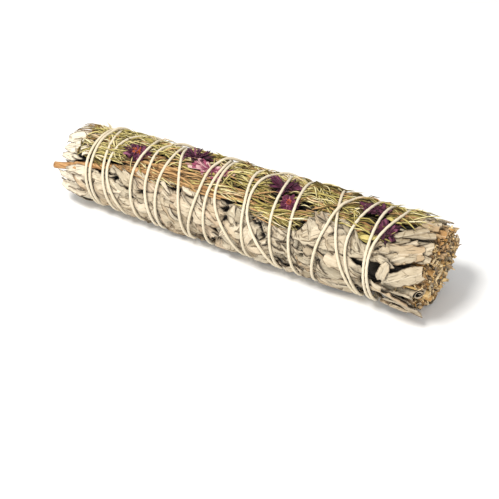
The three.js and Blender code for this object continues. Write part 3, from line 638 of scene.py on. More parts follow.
class Shader:
    """A material with a few shortcuts to wire its nodes."""

    def __init__(self, name, roughness, sheen=0.0):
        self.material = bpy.data.materials.new(name)
        self.material.use_nodes = True
        self.tree = self.material.node_tree
        self.bsdf = self.tree.nodes["Principled BSDF"]
        self.bsdf.inputs["Roughness"].default_value = roughness
        self.bsdf.inputs["Specular IOR Level"].default_value = 0.3
        self.bsdf.inputs["Sheen Weight"].default_value = sheen
        self.where = self.node("ShaderNodeTexCoord").outputs["Object"]

    def node(self, kind, **settings):
        node = self.tree.nodes.new(kind)
        for key, value in settings.items():
            setattr(node, key, value)
        return node

    def link(self, source, target):
        if hasattr(source, "node"):
            self.tree.links.new(source, target)
        else:
            target.default_value = source

    def value(self, name):
        return self.node("ShaderNodeAttribute", attribute_name=name).outputs["Fac"]

    def stretched(self, scale, vector=None):
        mapping = self.node("ShaderNodeMapping")
        mapping.inputs["Scale"].default_value = scale
        self.link(vector or self.where, mapping.inputs["Vector"])
        return mapping.outputs["Vector"]

    def noise(self, size, detail=3.0, rough=0.55, vector=None):
        """Noise with features of about the given size in millimetres."""
        node = self.node("ShaderNodeTexNoise")
        self.link(vector or self.where, node.inputs["Vector"])
        node.inputs["Scale"].default_value = 1 / (size * MM)
        node.inputs["Detail"].default_value = detail
        node.inputs["Roughness"].default_value = rough
        return node.outputs["Fac"]

    def ramp(self, source, stops):
        node = self.node("ShaderNodeValToRGB")
        elements = node.color_ramp.elements
        while len(elements) < len(stops):
            elements.new(0.5)
        for element, (position, colour) in zip(elements, stops):
            element.position = position
            element.color = linear(*colour)
        self.link(source, node.inputs["Fac"])
        return node.outputs["Color"]

    def span(self, source, low, high, to_low=0.0, to_high=1.0):
        node = self.node("ShaderNodeMapRange")
        self.link(source, node.inputs["Value"])
        for key, value in zip(("From Min", "From Max", "To Min", "To Max"), (low, high, to_low, to_high)):
            node.inputs[key].default_value = value
        return node.outputs["Result"]

    def math(self, operation, first, second=0.0):
        node = self.node("ShaderNodeMath", operation=operation)
        self.link(first, node.inputs[0])
        self.link(second, node.inputs[1])
        return node.outputs["Value"]

    def times(self, first, second):
        return self.math("MULTIPLY", first, second)

    def total(self, *parts):
        """The sum of sources, each given with its weight."""
        first, *others = (self.times(source, weight) for source, weight in parts)
        for part in others:
            first = self.math("ADD", first, part)
        return first

    def mix(self, base, share, colour):
        """The base with a share of the colour."""
        node = self.node("ShaderNodeMix", data_type="RGBA", blend_type="MIX")
        self.link(share, node.inputs["Factor"])
        self.link(base, node.inputs["A"])
        self.link(linear(*colour), node.inputs["B"])
        return node.outputs["Result"]

    def tint(self, base, source, low, high, share, colour):
        """The base with more of the colour, up to the share, as the source goes from low to high."""
        return self.mix(base, self.span(source, low, high, 0.0, share), colour)

    def shade(self, base, distance, low, high, share, colour, samples=6):
        """The base darkened to the colour where things within the distance, in millimetres, shut out light."""
        near = self.node("ShaderNodeAmbientOcclusion", samples=samples)
        near.inputs["Distance"].default_value = distance * MM
        return self.mix(base, self.span(near.outputs["AO"], low, high, share, 0.0), colour)

    def finish(self, colour, heights=None, depth=0.0):
        """The material with its colour, and with heights raised by the depth in millimetres."""
        if heights:
            node = self.node("ShaderNodeBump")
            node.inputs["Strength"].default_value = 1.0
            node.inputs["Distance"].default_value = depth * MM
            self.link(heights, node.inputs["Height"])
            self.link(node.outputs["Normal"], self.bsdf.inputs["Normal"])
        self.link(colour, self.bsdf.inputs["Base Color"])
        return self.material


def sage_material():
    """Felted pale leaf with a rib, side veins, creases, dry patches and painted shade where it lies deep."""
    s = Shader("sage_leaf", 0.9, sheen=0.12)
    lengthwise, across = s.value("along"), s.value("across")
    off_rib = s.math("ABSOLUTE", across)
    on_leaf = s.node("ShaderNodeCombineXYZ")
    for k, (source, scale) in enumerate(((lengthwise, 0.3), (across, 1), (s.value("own"), 9))):
        s.link(s.times(source, scale * MM), on_leaf.inputs[k])
    on_leaf = on_leaf.outputs["Vector"]
    position = s.node("ShaderNodeSeparateXYZ")
    s.link(s.node("ShaderNodeNewGeometry").outputs["Position"], position.inputs[0])
    from_tip = position.outputs["X"]
    streaks = s.noise(0.9, 4.0, 0.6, on_leaf)
    # Painted shade: the edges of a cell pattern darken as crease lines, in places, and are dented in the bump.
    crease_cells = s.node("ShaderNodeTexVoronoi", feature="DISTANCE_TO_EDGE")
    s.link(on_leaf, crease_cells.inputs["Vector"])
    crease_cells.inputs["Scale"].default_value = 1 / (2.8 * MM)
    crease_shade = s.times(s.span(crease_cells.outputs["Distance"], 0.0, 0.05, 0.75, 0.0), s.span(s.noise(4), 0.42, 0.6))
    # Painted shade: a thin dark line along each leaf's edge, in places.
    edge = s.times(s.span(s.value("edge"), 0.15, 0.55, 0.85, 0.0), s.span(s.noise(2.5), 0.34, 0.52))
    # Painted shade: short dark slits along the leaf, in places, stand for gaps between leaves, and are dented
    # in the bump.
    slit_shade = s.span(s.noise(0.8, 2.0, 0.5, s.stretched((0.3, 1.0, 1.0), on_leaf)), 0.6, 0.68, 0.0, 0.45)
    slit_shade = s.times(slit_shade, s.span(s.noise(5), 0.42, 0.56))
    # Painted shade where the leaf lies deep, with ragged bounds from noise.
    deep = s.math("ADD", s.value("deep"), s.span(s.noise(1.3), 0.3, 0.7, -0.15, 0.15))

    colour = s.ramp(s.value("tone"), [
        (0.0, (166, 152, 128)), (0.25, (192, 178, 153)), (0.5, (219, 205, 180)), (0.75, (178, 167, 145)),
        (1.0, (196, 174, 147)),
    ])
    colour = s.tint(colour, s.noise(8), 0.4, 0.7, 0.45, (168, 156, 130))
    colour = s.tint(colour, streaks, 0.48, 0.75, 0.35, (150, 132, 102))
    colour = s.tint(colour, streaks, 0.45, 0.27, 0.5, (232, 222, 198))
    # Darker towards the cut end; near white towards the tip end, a painted highlight.
    colour = s.tint(colour, from_tip, -0.01, 0.1, 0.42, (156, 143, 118))
    colour = s.tint(colour, from_tip, -0.082, -0.097, 0.7, (246, 236, 214))
    colour = s.mix(colour, s.value("dry"), (180, 134, 78))
    colour = s.mix(colour, crease_shade, (112, 92, 66))
    colour = s.tint(colour, off_rib, 0.35, 0.1, 0.35, (232, 220, 196))
    colour = s.mix(colour, edge, (66, 49, 32))
    colour = s.mix(colour, slit_shade, (84, 66, 46))
    # Painted shade: darker where other things are near, then near black where the leaf lies deep.
    colour = s.shade(colour, 2.4, 0.1, 0.77, 0.97, (36, 26, 17), samples=8)
    colour = s.tint(colour, deep, 0.34, 0.6, 0.97, (19, 13, 9))
    veins = s.math("SINE", s.total((lengthwise, 2.1), (off_rib, -2.4)))
    heights = s.total((s.noise(0.7, 2.0), 0.25), (s.noise(1.4, 4.0, 0.6, on_leaf), 0.7), (veins, 0.08),
                      (crease_shade, -0.7), (slit_shade, -1.0))
    return s.finish(colour, heights, 0.5)


def needle_material():
    """Fine leaves from brown over green to straw by tone, with darker spots."""
    s = Shader("fine_leaf", 0.8, sheen=0.05)
    colour = s.ramp(s.value("tone"), [
        (0.0, (100, 84, 42)), (0.2, (148, 132, 68)), (0.42, (192, 176, 104)), (0.66, (224, 208, 142)),
        (0.88, (244, 232, 192)), (1.0, (206, 164, 112)),
    ])
    colour = s.tint(colour, s.noise(1.6, 4.0), 0.5, 0.8, 0.5, (92, 76, 40))
    colour = s.mix(colour, s.value("dry"), (120, 84, 46))
    # Painted shade: darker where other things are near, and where the needles lie deep.
    colour = s.shade(colour, 2.3, 0.1, 0.84, 0.95, (40, 28, 15))
    colour = s.mix(colour, s.value("deep"), (44, 31, 17))
    return s.finish(colour, s.noise(0.8, 3.0), 0.2)


def twig_material():
    s = Shader("twig_bark", 0.7)
    grain = s.noise(1.2, 5.0, 0.6, s.stretched((0.12, 1.0, 1.0)))
    colour = s.ramp(grain, [(0.3, (128, 90, 56)), (0.48, (184, 138, 90)), (0.7, (212, 170, 122))])
    colour = s.tint(colour, s.noise(7, 3.0), 0.5, 0.75, 0.55, (160, 112, 68))
    colour = s.mix(colour, s.value("dry"), (112, 76, 48))
    return s.finish(colour, s.total((grain, 1.0), (s.noise(0.6), 0.4)), 0.35)


def stem_material():
    """Cut stems: a straw-coloured rim, a pale pith in the middle and brown stains."""
    s = Shader("cut_stem", 0.8)
    grain = s.noise(1.0, 4.0, 0.6, s.stretched((0.15, 1.0, 1.0)))
    colour = s.ramp(s.total((grain, 0.6), (s.value("tone"), 0.5)), [
        (0.2, (118, 80, 42)), (0.45, (196, 146, 82)), (0.7, (236, 200, 138)), (0.9, (242, 190, 100)),
    ])
    colour = s.mix(colour, s.value("pith"), (246, 222, 176))
    colour = s.tint(colour, s.noise(1.4, 4.0), 0.54, 0.75, 0.6, (104, 72, 42))
    # Painted shade where other things are near.
    colour = s.shade(colour, 2.0, 0.05, 0.65, 0.93, (38, 25, 14))
    return s.finish(colour, s.math("ADD", grain, s.noise(0.5)), 0.25)


def string_material():
    s = Shader("cotton", 0.85, sheen=0.2)
    fibres = s.noise(0.35, 4.0, 0.7)
    colour = s.tint(linear(226, 213, 188), s.noise(14, 2.0), 0.3, 0.7, 1.0, (217, 203, 174))
    colour = s.tint(colour, fibres, 0.5, 0.8, 0.45, (172, 154, 120))
    return s.finish(colour, fibres, 0.15)


def petal_material(name, pale, middle, dark):
    """Papery petals: pale at the root, streaked along their length."""
    s = Shader(name, 0.75, sheen=0.1)
    streaks = s.noise(0.5, 4.0, 0.7)
    colour = s.ramp(s.value("tone"), [(0.0, dark), (0.5, middle), (1.0, pale)])
    colour = s.tint(colour, s.value("along"), 0.35, 0.0, 0.5, pale)
    colour = s.tint(colour, streaks, 0.45, 0.75, 0.55, dark)
    colour = s.mix(colour, s.value("heart"), (205, 104, 48))
    return s.finish(colour, streaks, 0.2)


SAGE = sage_material()
NEEDLE = needle_material()
TWIG_BARK = twig_material()
CUT_STEM = stem_material()
COTTON = string_material()
PURPLE = petal_material("purple_petal", (176, 112, 138), (98, 38, 66), (46, 18, 32))
MAGENTA = petal_material("magenta_petal", (228, 188, 184), (162, 76, 104), (88, 34, 58))


# Sage leaves

def leaf_grid(lengths, widths):
    """Shares of the length from 0 to 1 and of the half width from -1 to 1, which make a grid."""
    return np.linspace(0, 1, lengths)[:, None], np.linspace(-1, 1, widths)[None, :]


def leaf_shape(u):
    """A leaf's half width as a share of its widest, from stalk to point."""
    return np.maximum(0.06, np.sin(np.pi * np.clip(0.08 + 0.9 * u, 0, 1) ** 0.85) ** 0.75)


def columns(leaves):
    """The leaves' numbers by name, each as an array with one leaf in a row."""
    return SimpleNamespace(**{
        key: np.array([leaf[key] for leaf in leaves], float).T[..., None, None] for key in leaves[0]
    })


def leaf_places(p, ahead, aside):
    """The x and angle of points that lie ahead of their leaf's root and aside of its middle."""
    turn = np.radians(p.yaw)
    x = p.x + p.toward * (ahead * np.cos(turn) - aside * np.sin(turn))
    way = ahead * np.sin(turn) + aside * np.cos(turn)
    return x, p.angle + p.toward * turn_of(way, x)


def blades(piece, leaves, lengths, widths, thickness=LEAF_THICKNESS):
    """Leaves that lie along the bundle, from what leaf_numbers gives for each."""
    if not leaves:
        return
    p = columns(leaves)
    u, v = leaf_grid(lengths, widths)
    off_rib = np.abs(v)
    jag = stacked(u * p.length, p.own * 7.0, np.sign(v) * 3.0)
    half = p.half * leaf_shape(u * (1 - 0.42 * p.cut)) * (1 + 0.2 * noise(jag, 4.5) + 0.14 * noise(jag, 1.6))
    torn = noise(stacked(0, p.own * 5.0, v * p.half), 2.2)
    ahead = u * p.length * (1 + 0.5 * p.cut * torn * u ** 3 * np.minimum(1, 4 / p.length))
    x, angle = leaf_places(p, ahead, v * half + p.bend * np.sin(np.pi * u))
    gap = string_gap(x, angle)

    relief = np.where(p.fold > 0, p.fold * (1 - off_rib), -p.fold * off_rib)
    relief = relief - p.tilt * v - p.curl * off_rib ** 3
    for crease, rise in zip(p.creases, p.rises):
        relief = relief + rise * (np.abs(v - crease - p.drift * (u - 0.5)) - 0.6)
    spot = even_place(x, angle) + 15 * p.own[..., None]
    relief = relief + p.crumple * (noise(spot, 4.5) + 0.5 * noise(spot, 1.9))
    free = 0.25 + 0.75 * smoothstep(gap, 0.7, 3.6)
    sunk = p.sink * (1 - smoothstep(u, 0, 0.28)) + p.tuck * smoothstep(u, 0.7, 1)
    cover = p.cover * strip_depth(x, angle)
    below = p.depth + sunk + relief * free + p.hollow * hollow_depth(x, angle)
    radius = bulged(x, angle) - below - cover + p.flare * smoothstep(u, 0.4, 1)
    radius = np.where(gap < 1.3, np.minimum(radius, outline(x, angle) - 0.05), radius)
    radius = np.minimum(radius, outline(x, angle) + p.proud)
    inner = place(x, angle, radius - thickness)
    inner[..., 2] = np.maximum(inner[..., 2], 0.3)

    # Painted shade: darker where the leaf lies deep, or under the bed of the strip.
    deep = 0.9 * smoothstep(below, 1.9, 4.6) + 0.9 * smoothstep(cover, 0.8, 2.6)
    dry = p.dry * (0.3 + 0.8 * u ** 3 + 0.4 * off_rib ** 4)
    piece.slabs(place(x, angle, radius), inner, tone=p.tone, along=ahead, across=v * half, own=p.own,
                edge=(1 - off_rib) * half, dry=np.clip(dry, 0, 1), deep=np.clip(deep, 0, 0.93))


def lapped(draw):
    """Which long edge of a leaf stands up: mostly the lower one, as leaves that overlap do."""
    return 1 if draw.random() < 0.72 else -1


def leaf_numbers(draw, **given):
    """One leaf's numbers: the given ones, and the rest drawn.

    The root lies at x and angle, and the leaf points to the cut end where toward is 1. depth is how far
    it lies under the surface, sink and tuck how much deeper its root and its point lie, flare how far the
    point stands out, proud the most that any of it does, hollow and cover how much it follows the hollows
    and the bed of the strip, cut how much of its point is torn off, and own sets its noise apart.
    """
    leaf = {
        "yaw": draw.normal(-22, 14), "half": draw.uniform(4.0, 7.0), "length": draw.uniform(28, 52),
        "depth": draw.uniform(0.9, 2.6), "tilt": lapped(draw) * draw.uniform(0.9, 2.1),
        "fold": draw.uniform(-0.6, 0.6), "curl": draw.uniform(-0.2, 0.9), "crumple": draw.uniform(0.1, 0.28),
        "bend": draw.uniform(-3, 3), "sink": 3.0, "tuck": draw.uniform(-0.4, 1.4), "toward": -1.0,
        "cut": 0.0, "flare": 0.0, "proud": 1.5, "hollow": 1.0, "cover": 1.0,
        "own": draw.uniform(0, 10), "tone": draw.uniform(0, 1),
        "dry": max(0.0, draw.normal(0.02, 0.2)), "drift": draw.uniform(-0.8, 0.8),
    }
    creased = [(draw.uniform(-0.8, 0.8), draw.choice([-1, 1]) * draw.uniform(0.0, 0.9)) for _ in range(3)]
    leaf["creases"], leaf["rises"] = zip(*creased)
    return leaf | given


def clear_of_hollows(leaves):
    """The leaves that don't lie across a hollow, which these leave open."""
    p = columns(leaves)
    ahead = p.length * np.linspace(0.05, 0.95, 6)[:, None]
    aside = p.half * np.array([-0.7, -0.25, 0.25, 0.7])
    deepest = hollow_depth(*leaf_places(p, ahead, aside)).max(axis=(1, 2))
    return [leaf for leaf, depth in zip(leaves, deepest) if depth < OPEN_HOLLOW]


def clear_of_rolls(angle, distance=21.0):
    """Whether a place at the cut end lies outside the wide rolled leaves."""
    for _, end, at, size, _ in ROLLED_LEAVES:
        aside = math.radians(wrapped(angle - at)) * distance
        if size > 2.2 and math.hypot(aside, distance - outline(end, at) + size + 0.5) < size + 0.2:
            return False
    return True


def clear_of_placed(leaves, longest=FREE):
    """The leaves off the shown side of the cut end, where the placed ones are, and all that are longer."""
    return [leaf for leaf in leaves
            if leaf["length"] > longest or leaf["x"] <= 84 or not -24 < wrapped(leaf["angle"]) < 84]


def placed_leaves(draw, middle):
    """One sprig's share of the leaves that stand out in the picture."""
    leaves = []
    for x, angle, x_tip, angle_tip, half, depth, fold, lift, tone in PLACED_LEAVES:
        if not -SECTOR / 2 <= wrapped((angle + angle_tip) / 2 - middle) < SECTOR / 2:
            continue
        toward = 1.0 if x_tip > x else -1.0
        way = toward * math.radians(angle_tip - angle) * even_radius(x)
        length = math.hypot(x_tip - x, way)
        yaw = math.degrees(math.atan2(way, abs(x_tip - x)))
        leaves.append(leaf_numbers(
            draw, x=x, angle=angle, half=half, length=length, yaw=yaw, depth=depth, fold=fold, toward=toward,
            tuck=-lift, tone=tone, dry=0.1, proud=2.3, tilt=lapped(draw) * draw.uniform(0.4, 0.9),
            sink=min(1.6, length / 12), bend=draw.uniform(-0.6, 0.6),
            hollow=0.0 if x > 60 else 1.0, cover=0.0 if x < -80 and angle > 50 else 1.0,
            cut=draw.uniform(0.5, 0.9) if x_tip > 95 else draw.uniform(0.1, 0.4)))
    return leaves


def large_leaves(draw, own, number, middle):
    """The leaves of a sprig's body, in pairs side by side, with more of them strewn over it."""
    leaves = []
    count = 3 if number == 0 else 4
    pitch = (LENGTH - 30) / count
    for i in range(count):
        for column in ([1] if i == 0 else [-1, 1]):
            length = own(56, 66)
            start = HALF - 3 - pitch * (i + (0.5 if column > 0 else 0)) + own(-4, 4)
            turned = middle + 11 * column + own(-3, 3)
            half, yaw = own(5.8, 7.8), own(-15, 15)
            layer = own(0.05, 0.3) if column > 0 else own(1.55, 1.75)
            fold = own(0.5, 0.8) if column > 0 else own(-0.4, -0.4)
            leaves.append(leaf_numbers(draw, x=max(start, length - HALF + 2), angle=turned, length=length,
                                       half=half, yaw=yaw - 10, depth=layer + 0.9, fold=fold))
    return clear_of_placed(leaves + strewn_leaves(draw, middle, **LARGE_LEAVES), longest=55)


def strewn_leaves(draw, middle, count, lengths, room, spread, hollow=1.0, **ranges):
    """Leaves strewn over a sprig. The ranges are drawn in their order, yaw as a mean and a deviation."""
    leaves = []
    for _ in range(count):
        length = draw.uniform(*lengths)
        leaf = {
            "length": length, "x": draw.uniform(length - HALF + room[0], HALF - room[1]),
            "angle": middle + draw.uniform(-spread, spread), "hollow": hollow,
        }
        for name, span in ranges.items():
            side = lapped(draw) if name == "tilt" else 1
            leaf[name] = side * (draw.normal(*span) if name == "yaw" else draw.uniform(*span))
        leaves.append(leaf_numbers(draw, **leaf))
    return leaves


def loose_leaves(draw, own, middle):
    """Leaves past the last turn of string: a wide one that flares, and cut ones at all depths."""
    start, turned = own(70, 76), middle + own(-12, 12)
    length, half = own(27, 31), own(4.2, 5.8)
    wide = leaf_numbers(draw, x=start, angle=turned, length=length, half=half, yaw=own(-10, 10), depth=0.4,
                        flare=own(1.2, 2.4), proud=2.4, fold=-0.9, toward=1.0, curl=0.6, cut=0.5)
    leaves = []
    for _ in range(LOOSE_LEAVES):
        length = draw.uniform(14, 30)
        reach = draw.uniform(92, 103) + 4 * far_side(middle)
        side = draw.choice([-1, 1])
        leaves.append(leaf_numbers(
            draw, x=reach - length, angle=middle + draw.uniform(-32, 32), length=length, toward=1.0,
            half=draw.uniform(2.2, 5.4), yaw=draw.normal(-4, 16), depth=draw.uniform(0.1, 4.2), proud=2.2,
            tilt=side * draw.uniform(0.6, 2.6), cut=draw.uniform(0.1, 1), hollow=0.3,
            tone=draw.choice([draw.uniform(0, 0.3), draw.uniform(0.6, 0.85)]),
            fold=draw.uniform(-1.6, 1.6), curl=draw.uniform(-1.2, 1.8), tuck=draw.uniform(-1.2, 0.8)))
    leaves = [leaf for leaf in clear_of_hollows(leaves) if clear_of_rolls(leaf["angle"])]
    return [wide] + [leaf for leaf in leaves if leaf["depth"] > 2 or not -20 < wrapped(leaf["angle"]) < 80]


def pressed_leaves(draw):
    """The leaves underneath, pressed flat, which the bundle rests on."""
    return [leaf_numbers(draw, x=at + 0.6 * size, angle=-90, length=1.2 * size, half=7.5, yaw=0, depth=-2.9,
                         fold=0.0, tilt=0.0, crumple=0.15, curl=-0.6, sink=2.6, tuck=2.6, proud=4.0,
                         rises=(0.1, 0.0, 0.0)) for at, size in RESTS]


def far_side(angle):
    """1 at the top of the back, where the cut leaves reach farthest, to 0 at the opposite side."""
    return 0.5 + 0.5 * np.cos(np.radians(angle - FACE["angle"]))


def face_reach(radius, angle):
    """How far the cut leaves reach in x."""
    share = radius / FACE["radius"]
    return FACE["x"] - FACE["fall"] * share ** 2 + FACE["lean"] * far_side(angle) * share ** 1.5


def ribbons(piece, draw, middle):
    """Cut leaves that stand out of the end face, as curved strips seen edge on."""
    u, v = leaf_grid(5, 9)
    for _ in range(RIBBONS):
        distance = 21.5 * draw.uniform(0.1, 1.0) ** 0.6
        angle = middle + draw.uniform(-30, 30)
        reach = face_reach(distance, angle) + draw.normal(-0.6, 1.2)
        reach -= 0 if clear_of_rolls(angle, distance) else 5
        width = draw.uniform(0.8, 2.8)
        bow = draw.uniform(-1.1, 1.1) * width
        lean = math.radians(draw.normal(90, 35))
        outward, tangent = directions(angle)
        wide = math.cos(lean) * outward + math.sin(lean) * tangent
        thin = math.cos(lean) * tangent - math.sin(lean) * outward
        ragged = 0.9 * noise(stacked(draw.uniform(0, 99), width * v, 0), 1.5)
        x = RIBBON_ROOT + u * (reach + ragged - RIBBON_ROOT)
        waves = 0.35 * np.abs(np.sin(3.5 * v + draw.uniform(0, 6)))
        fold = bow * (v ** 2 - 0.4) + waves + draw.uniform(-1, 1) * u
        aside = width * v * (0.8 + 0.2 * u)
        points = (place(x, angle, distance * (0.93 + 0.07 * u)) + aside[..., None] * wide
                  + (fold * u ** 0.5)[..., None] * thin)
        away = points[..., 1:] - axis_point(x)
        far = np.maximum(np.linalg.norm(away, axis=-1), 1e-6)
        points[..., 1:] = axis_point(x) + away * np.minimum(1, (outline(x, angle) - 0.4) / far)[..., None]
        golden = draw.uniform(0.0, 0.55) + 0.45 * smoothstep(distance, 9, 20)
        # Painted shade: the strips darken farther back from the face.
        piece.slabs(points, points - 0.32 * thin, tone=draw.uniform(0, 1), along=x - RIBBON_ROOT,
                    own=draw.uniform(0, 10), across=width * v, edge=1.4 * (reach + 1 - x),
                    dry=golden * (0.5 + 0.5 * u), deep=0.9 * smoothstep(reach - x, 3.5, 9))


def rolled_leaf(piece, draw, start, end, angle, size, turns):
    """A leaf rolled up lengthwise, whose spiral shows at its cut end."""
    u = 1 - (1 - np.linspace(0, 1, 16)[:, None]) ** 1.8
    s = np.linspace(0, 1, 40)[None, :]
    opened = 0.3 + 0.7 * s
    sweep = 2 * math.pi * turns * s + draw.uniform(0, 6) + 0.4 * u
    x = start + (end - start) * u + 0.5 * noise(stacked(0, 9 * s, 0), 1.2) * u ** 4
    x = x - 0.65 * size * u ** 4 * (1 + np.sin(sweep) * opened)
    radius = size * opened * (0.75 + 0.25 * u)
    depth = size + 0.5 - radius * np.sin(sweep) + 1.4 * (1 - u)
    at = angle + turn_of(radius * np.cos(sweep) * 1.05, x) + 5 * (u - 0.5)
    outer = place(x, at, outline(x, at) - depth)
    outer = outer + 0.15 * wobble(outer, 2.2, 4)
    outward, tangent = directions(angle)
    inward = 0.16 * size * (np.cos(sweep)[..., None] * tangent + np.sin(sweep)[..., None] * outward)
    # Painted shade: dark inside the roll, on the inner turns and the deeper side of the outer ones, except
    # near the cut end.
    inside = np.clip(1 - smoothstep(s, 0.5, 0.7) + smoothstep(-np.sin(sweep), -0.2, 0.3), 0, 1)
    piece.slabs(outer, outer - inward, tone=0.5, along=x - start, across=6 * s, own=draw.uniform(0, 10),
                edge=2.0, dry=0.2 * u ** 6, deep=0.93 * (1 - smoothstep(u, 0.93, 0.99)) * inside)


def end_tips(piece, draw, middle):
    """Rounded leaf points that close the tip end, each bent in towards the axis."""
    u, v = leaf_grid(9, 9)
    for _ in range(END_TIPS):
        distance = draw.uniform(1.5, 14.5)
        angle = middle + draw.uniform(-32, 32)
        reach = -106.5 + 0.03 * distance ** 2 + abs(draw.normal(0, 1.6))
        half = draw.uniform(2.0, 4.6)
        x = END_TIP_ROOT + (reach - END_TIP_ROOT) * u
        swing = half * v * np.sqrt(np.clip(1.05 - u ** 4, 0.02, 1)) + draw.uniform(-2, 2) * u
        bend = draw.uniform(0.5, 2.6) * u ** 3 + draw.uniform(-0.5, 0.9) * v ** 2 * half / 3
        bend = bend + draw.uniform(-0.4, 0.4) * v
        radius = distance + 1.5 * (1 - u) - bend
        outer = place(x, angle + np.degrees(swing / np.maximum(distance, 4)), radius)
        outer = outer + 0.3 * wobble(outer, 3.0, 1)
        inner = outer.copy()
        inner[..., 1:] -= LEAF_THICKNESS * (outer[..., 1:] - axis_point(x)) / np.maximum(radius, 2)[..., None]
        inner[..., 0] += 0.2 * u ** 4
        edge = np.minimum((1 - np.abs(v)) * half, 1.2 * (x - reach)) + 0.15
        # Painted shade: each point darkens towards its root.
        piece.slabs(outer, inner, tone=draw.uniform(0.1, 1), along=x - END_TIP_ROOT, across=half * v,
                    own=draw.uniform(0, 10), edge=edge,
                    dry=draw.uniform(0, 0.5) * u ** 2, deep=0.9 * (1 - smoothstep(u, 0.35, 0.8)))


def core(piece, middle):
    """The inside of a sprig, painted nearly black as shade, which shows between its leaves."""
    u, v = leaf_grid(70, 14)
    x = 2 * CORE["end"] * u - CORE["end"]
    angle = middle + CORE["spread"] * v
    depth = CORE["depth"] + strip_depth(x, angle) + 0.5 * hollow_depth(x, angle)
    radius = bulged(x, angle) - depth + 1.1 * noise(even_place(x, angle), 4)
    piece.slabs(place(x, angle, radius), place(x, angle, CORE["inside"]), tone=0.3, edge=2.0, deep=0.88)


def sprig_middle(number):
    return -90 + SECTOR * number


def sprig(number):
    """One sprig: its inside in painted shade, large leaves, smaller and broken ones, and its two open ends."""
    draw = np.random.default_rng(1000 + number)
    own = Draw(100 + number)
    middle = sprig_middle(number)
    large_grid, medium_grid = FRONT_GRIDS if number in FRONT_SPRIGS else BACK_GRIDS
    piece = Piece(f"sage_sprig_{number + 1}")
    core(piece, middle)
    blades(piece, large_leaves(draw, own, number, middle), *large_grid)
    medium = clear_of_hollows(strewn_leaves(draw, middle, **MEDIUM_LEAVES))
    blades(piece, clear_of_placed(medium), *medium_grid)
    small = clear_of_hollows(strewn_leaves(draw, middle, **SMALL_LEAVES))
    blades(piece, clear_of_placed(small), 10, 6)
    blades(piece, loose_leaves(draw, own, middle), 19, 10)
    blades(piece, placed_leaves(draw, middle), 24, 11)
    if number == 0:
        blades(piece, pressed_leaves(draw), 16, 9)
    for start, end, angle, size, turns in ROLLED_LEAVES:
        if abs(wrapped(angle - middle)) <= SECTOR / 2:
            rolled_leaf(piece, draw, start, end, angle, size, turns)
    ribbons(piece, draw, middle)
    end_tips(piece, draw, middle)
    piece.finish(SAGE, "sage_leaf", [f"sprig_{number + 1}_leaves"], sharp=LEAF_CREASE)


for number in range(SPRIGS):
    sprig(number)


# The string

def knot(piece):
    """A strand that crosses itself in three loops, on the hidden side."""
    t = np.linspace(0, 2 * np.pi, 90)
    swing = KNOT["size"] * (1 + 0.4 * np.cos(3 * t))
    loops = stacked(swing * np.cos(2 * t), 0.5 * KNOT["size"] * np.sin(3 * t), swing * np.sin(2 * t))
    outward, tangent = directions(KNOT["angle"])
    centre = place(KNOT["x"], KNOT["angle"], outline(KNOT["x"], KNOT["angle"]) + 1.8)
    piece.tubes(centre + loops @ np.array([(1, 0, 0), outward, -tangent]), KNOT["strand"], 8)


def cotton_string():
    """The wound string, whose section has three strands that turn on their way."""
    angle, x = route.T
    path = place(x, angle, outline(x, angle) + STRING_RADIUS * 0.65 + route_lift)
    run = np.concatenate([[0], np.cumsum(np.linalg.norm(np.diff(path, axis=0), axis=-1))])
    twist = 2 * np.pi * run / STRING_LAY

    def lobes(turn):
        return 1 + 0.13 * np.cos(3 * (turn + twist[:, None]))

    piece = Piece("wound_string")
    piece.tubes(path, STRING_RADIUS, 9, lobes=lobes)
    knot(piece)
    piece.finish(COTTON, "cotton_string", ["cotton_string"])


cotton_string()


# Twig and cut stems

def twig():
    """The twig, smoothed along its table, with knots and short side shoots."""
    places, *others = np.array(TWIG).T
    stations = np.linspace(places[0], places[-1], 120)
    weights = np.hanning(13) / np.hanning(13).sum()

    def smoothed(values):
        return np.convolve(np.pad(np.interp(stations, places, values), 6, mode="edge"), weights, mode="valid")

    angle, depth, radius = (smoothed(values) for values in others)
    inside = np.maximum(stations, -HALF + TIP_ROUNDING / 2)
    path = place(stations, angle, outline(inside, angle) - depth)
    path += 0.2 * wobble(path, 16, 1)
    knots = sum(0.28 * np.exp(-((stations - at) / 1.3) ** 2) for at in TWIG_KNOTS)
    rough = 1 + 0.07 * noise(path, 2.2, 4) + knots
    piece = Piece("tan_twig")
    piece.tubes(path, radius * rough, 14, dry=0.6 * smoothstep(stations, -70, -30))
    share = np.linspace(0, 1, 10)
    for at, turned, length in TWIG_SHOOTS:
        k = np.abs(stations - at).argmin()
        shoot = place(at + length * share, angle[k] + 0.5 * (turned - angle[k]) * share,
                      outline(at, angle[k]) - depth[k] + 0.5 * share)
        piece.tubes(shoot, np.linspace(0.75 * radius[k], 0.3, 10), 8, dry=0.6)
    piece.finish(TWIG_BARK, "tan_wood", ["twig"])


def stem_list():
    """Each cut stem's radius, distance from the axis, angle, end, length and slant of its cut."""
    draw = Draw(900)
    stems = []
    for count, distance, thin, thick in STEM_RINGS:
        for i in range(count):
            radius = draw(thin, thick)
            angle = (360 / count) * i + draw(6, 20) + distance
            end = HALF + draw(0.4, 3) - 1.6
            length = draw(48, 96)
            stems.append((radius, distance, angle, end, length, draw(-0.35, 0.35)))
    return stems


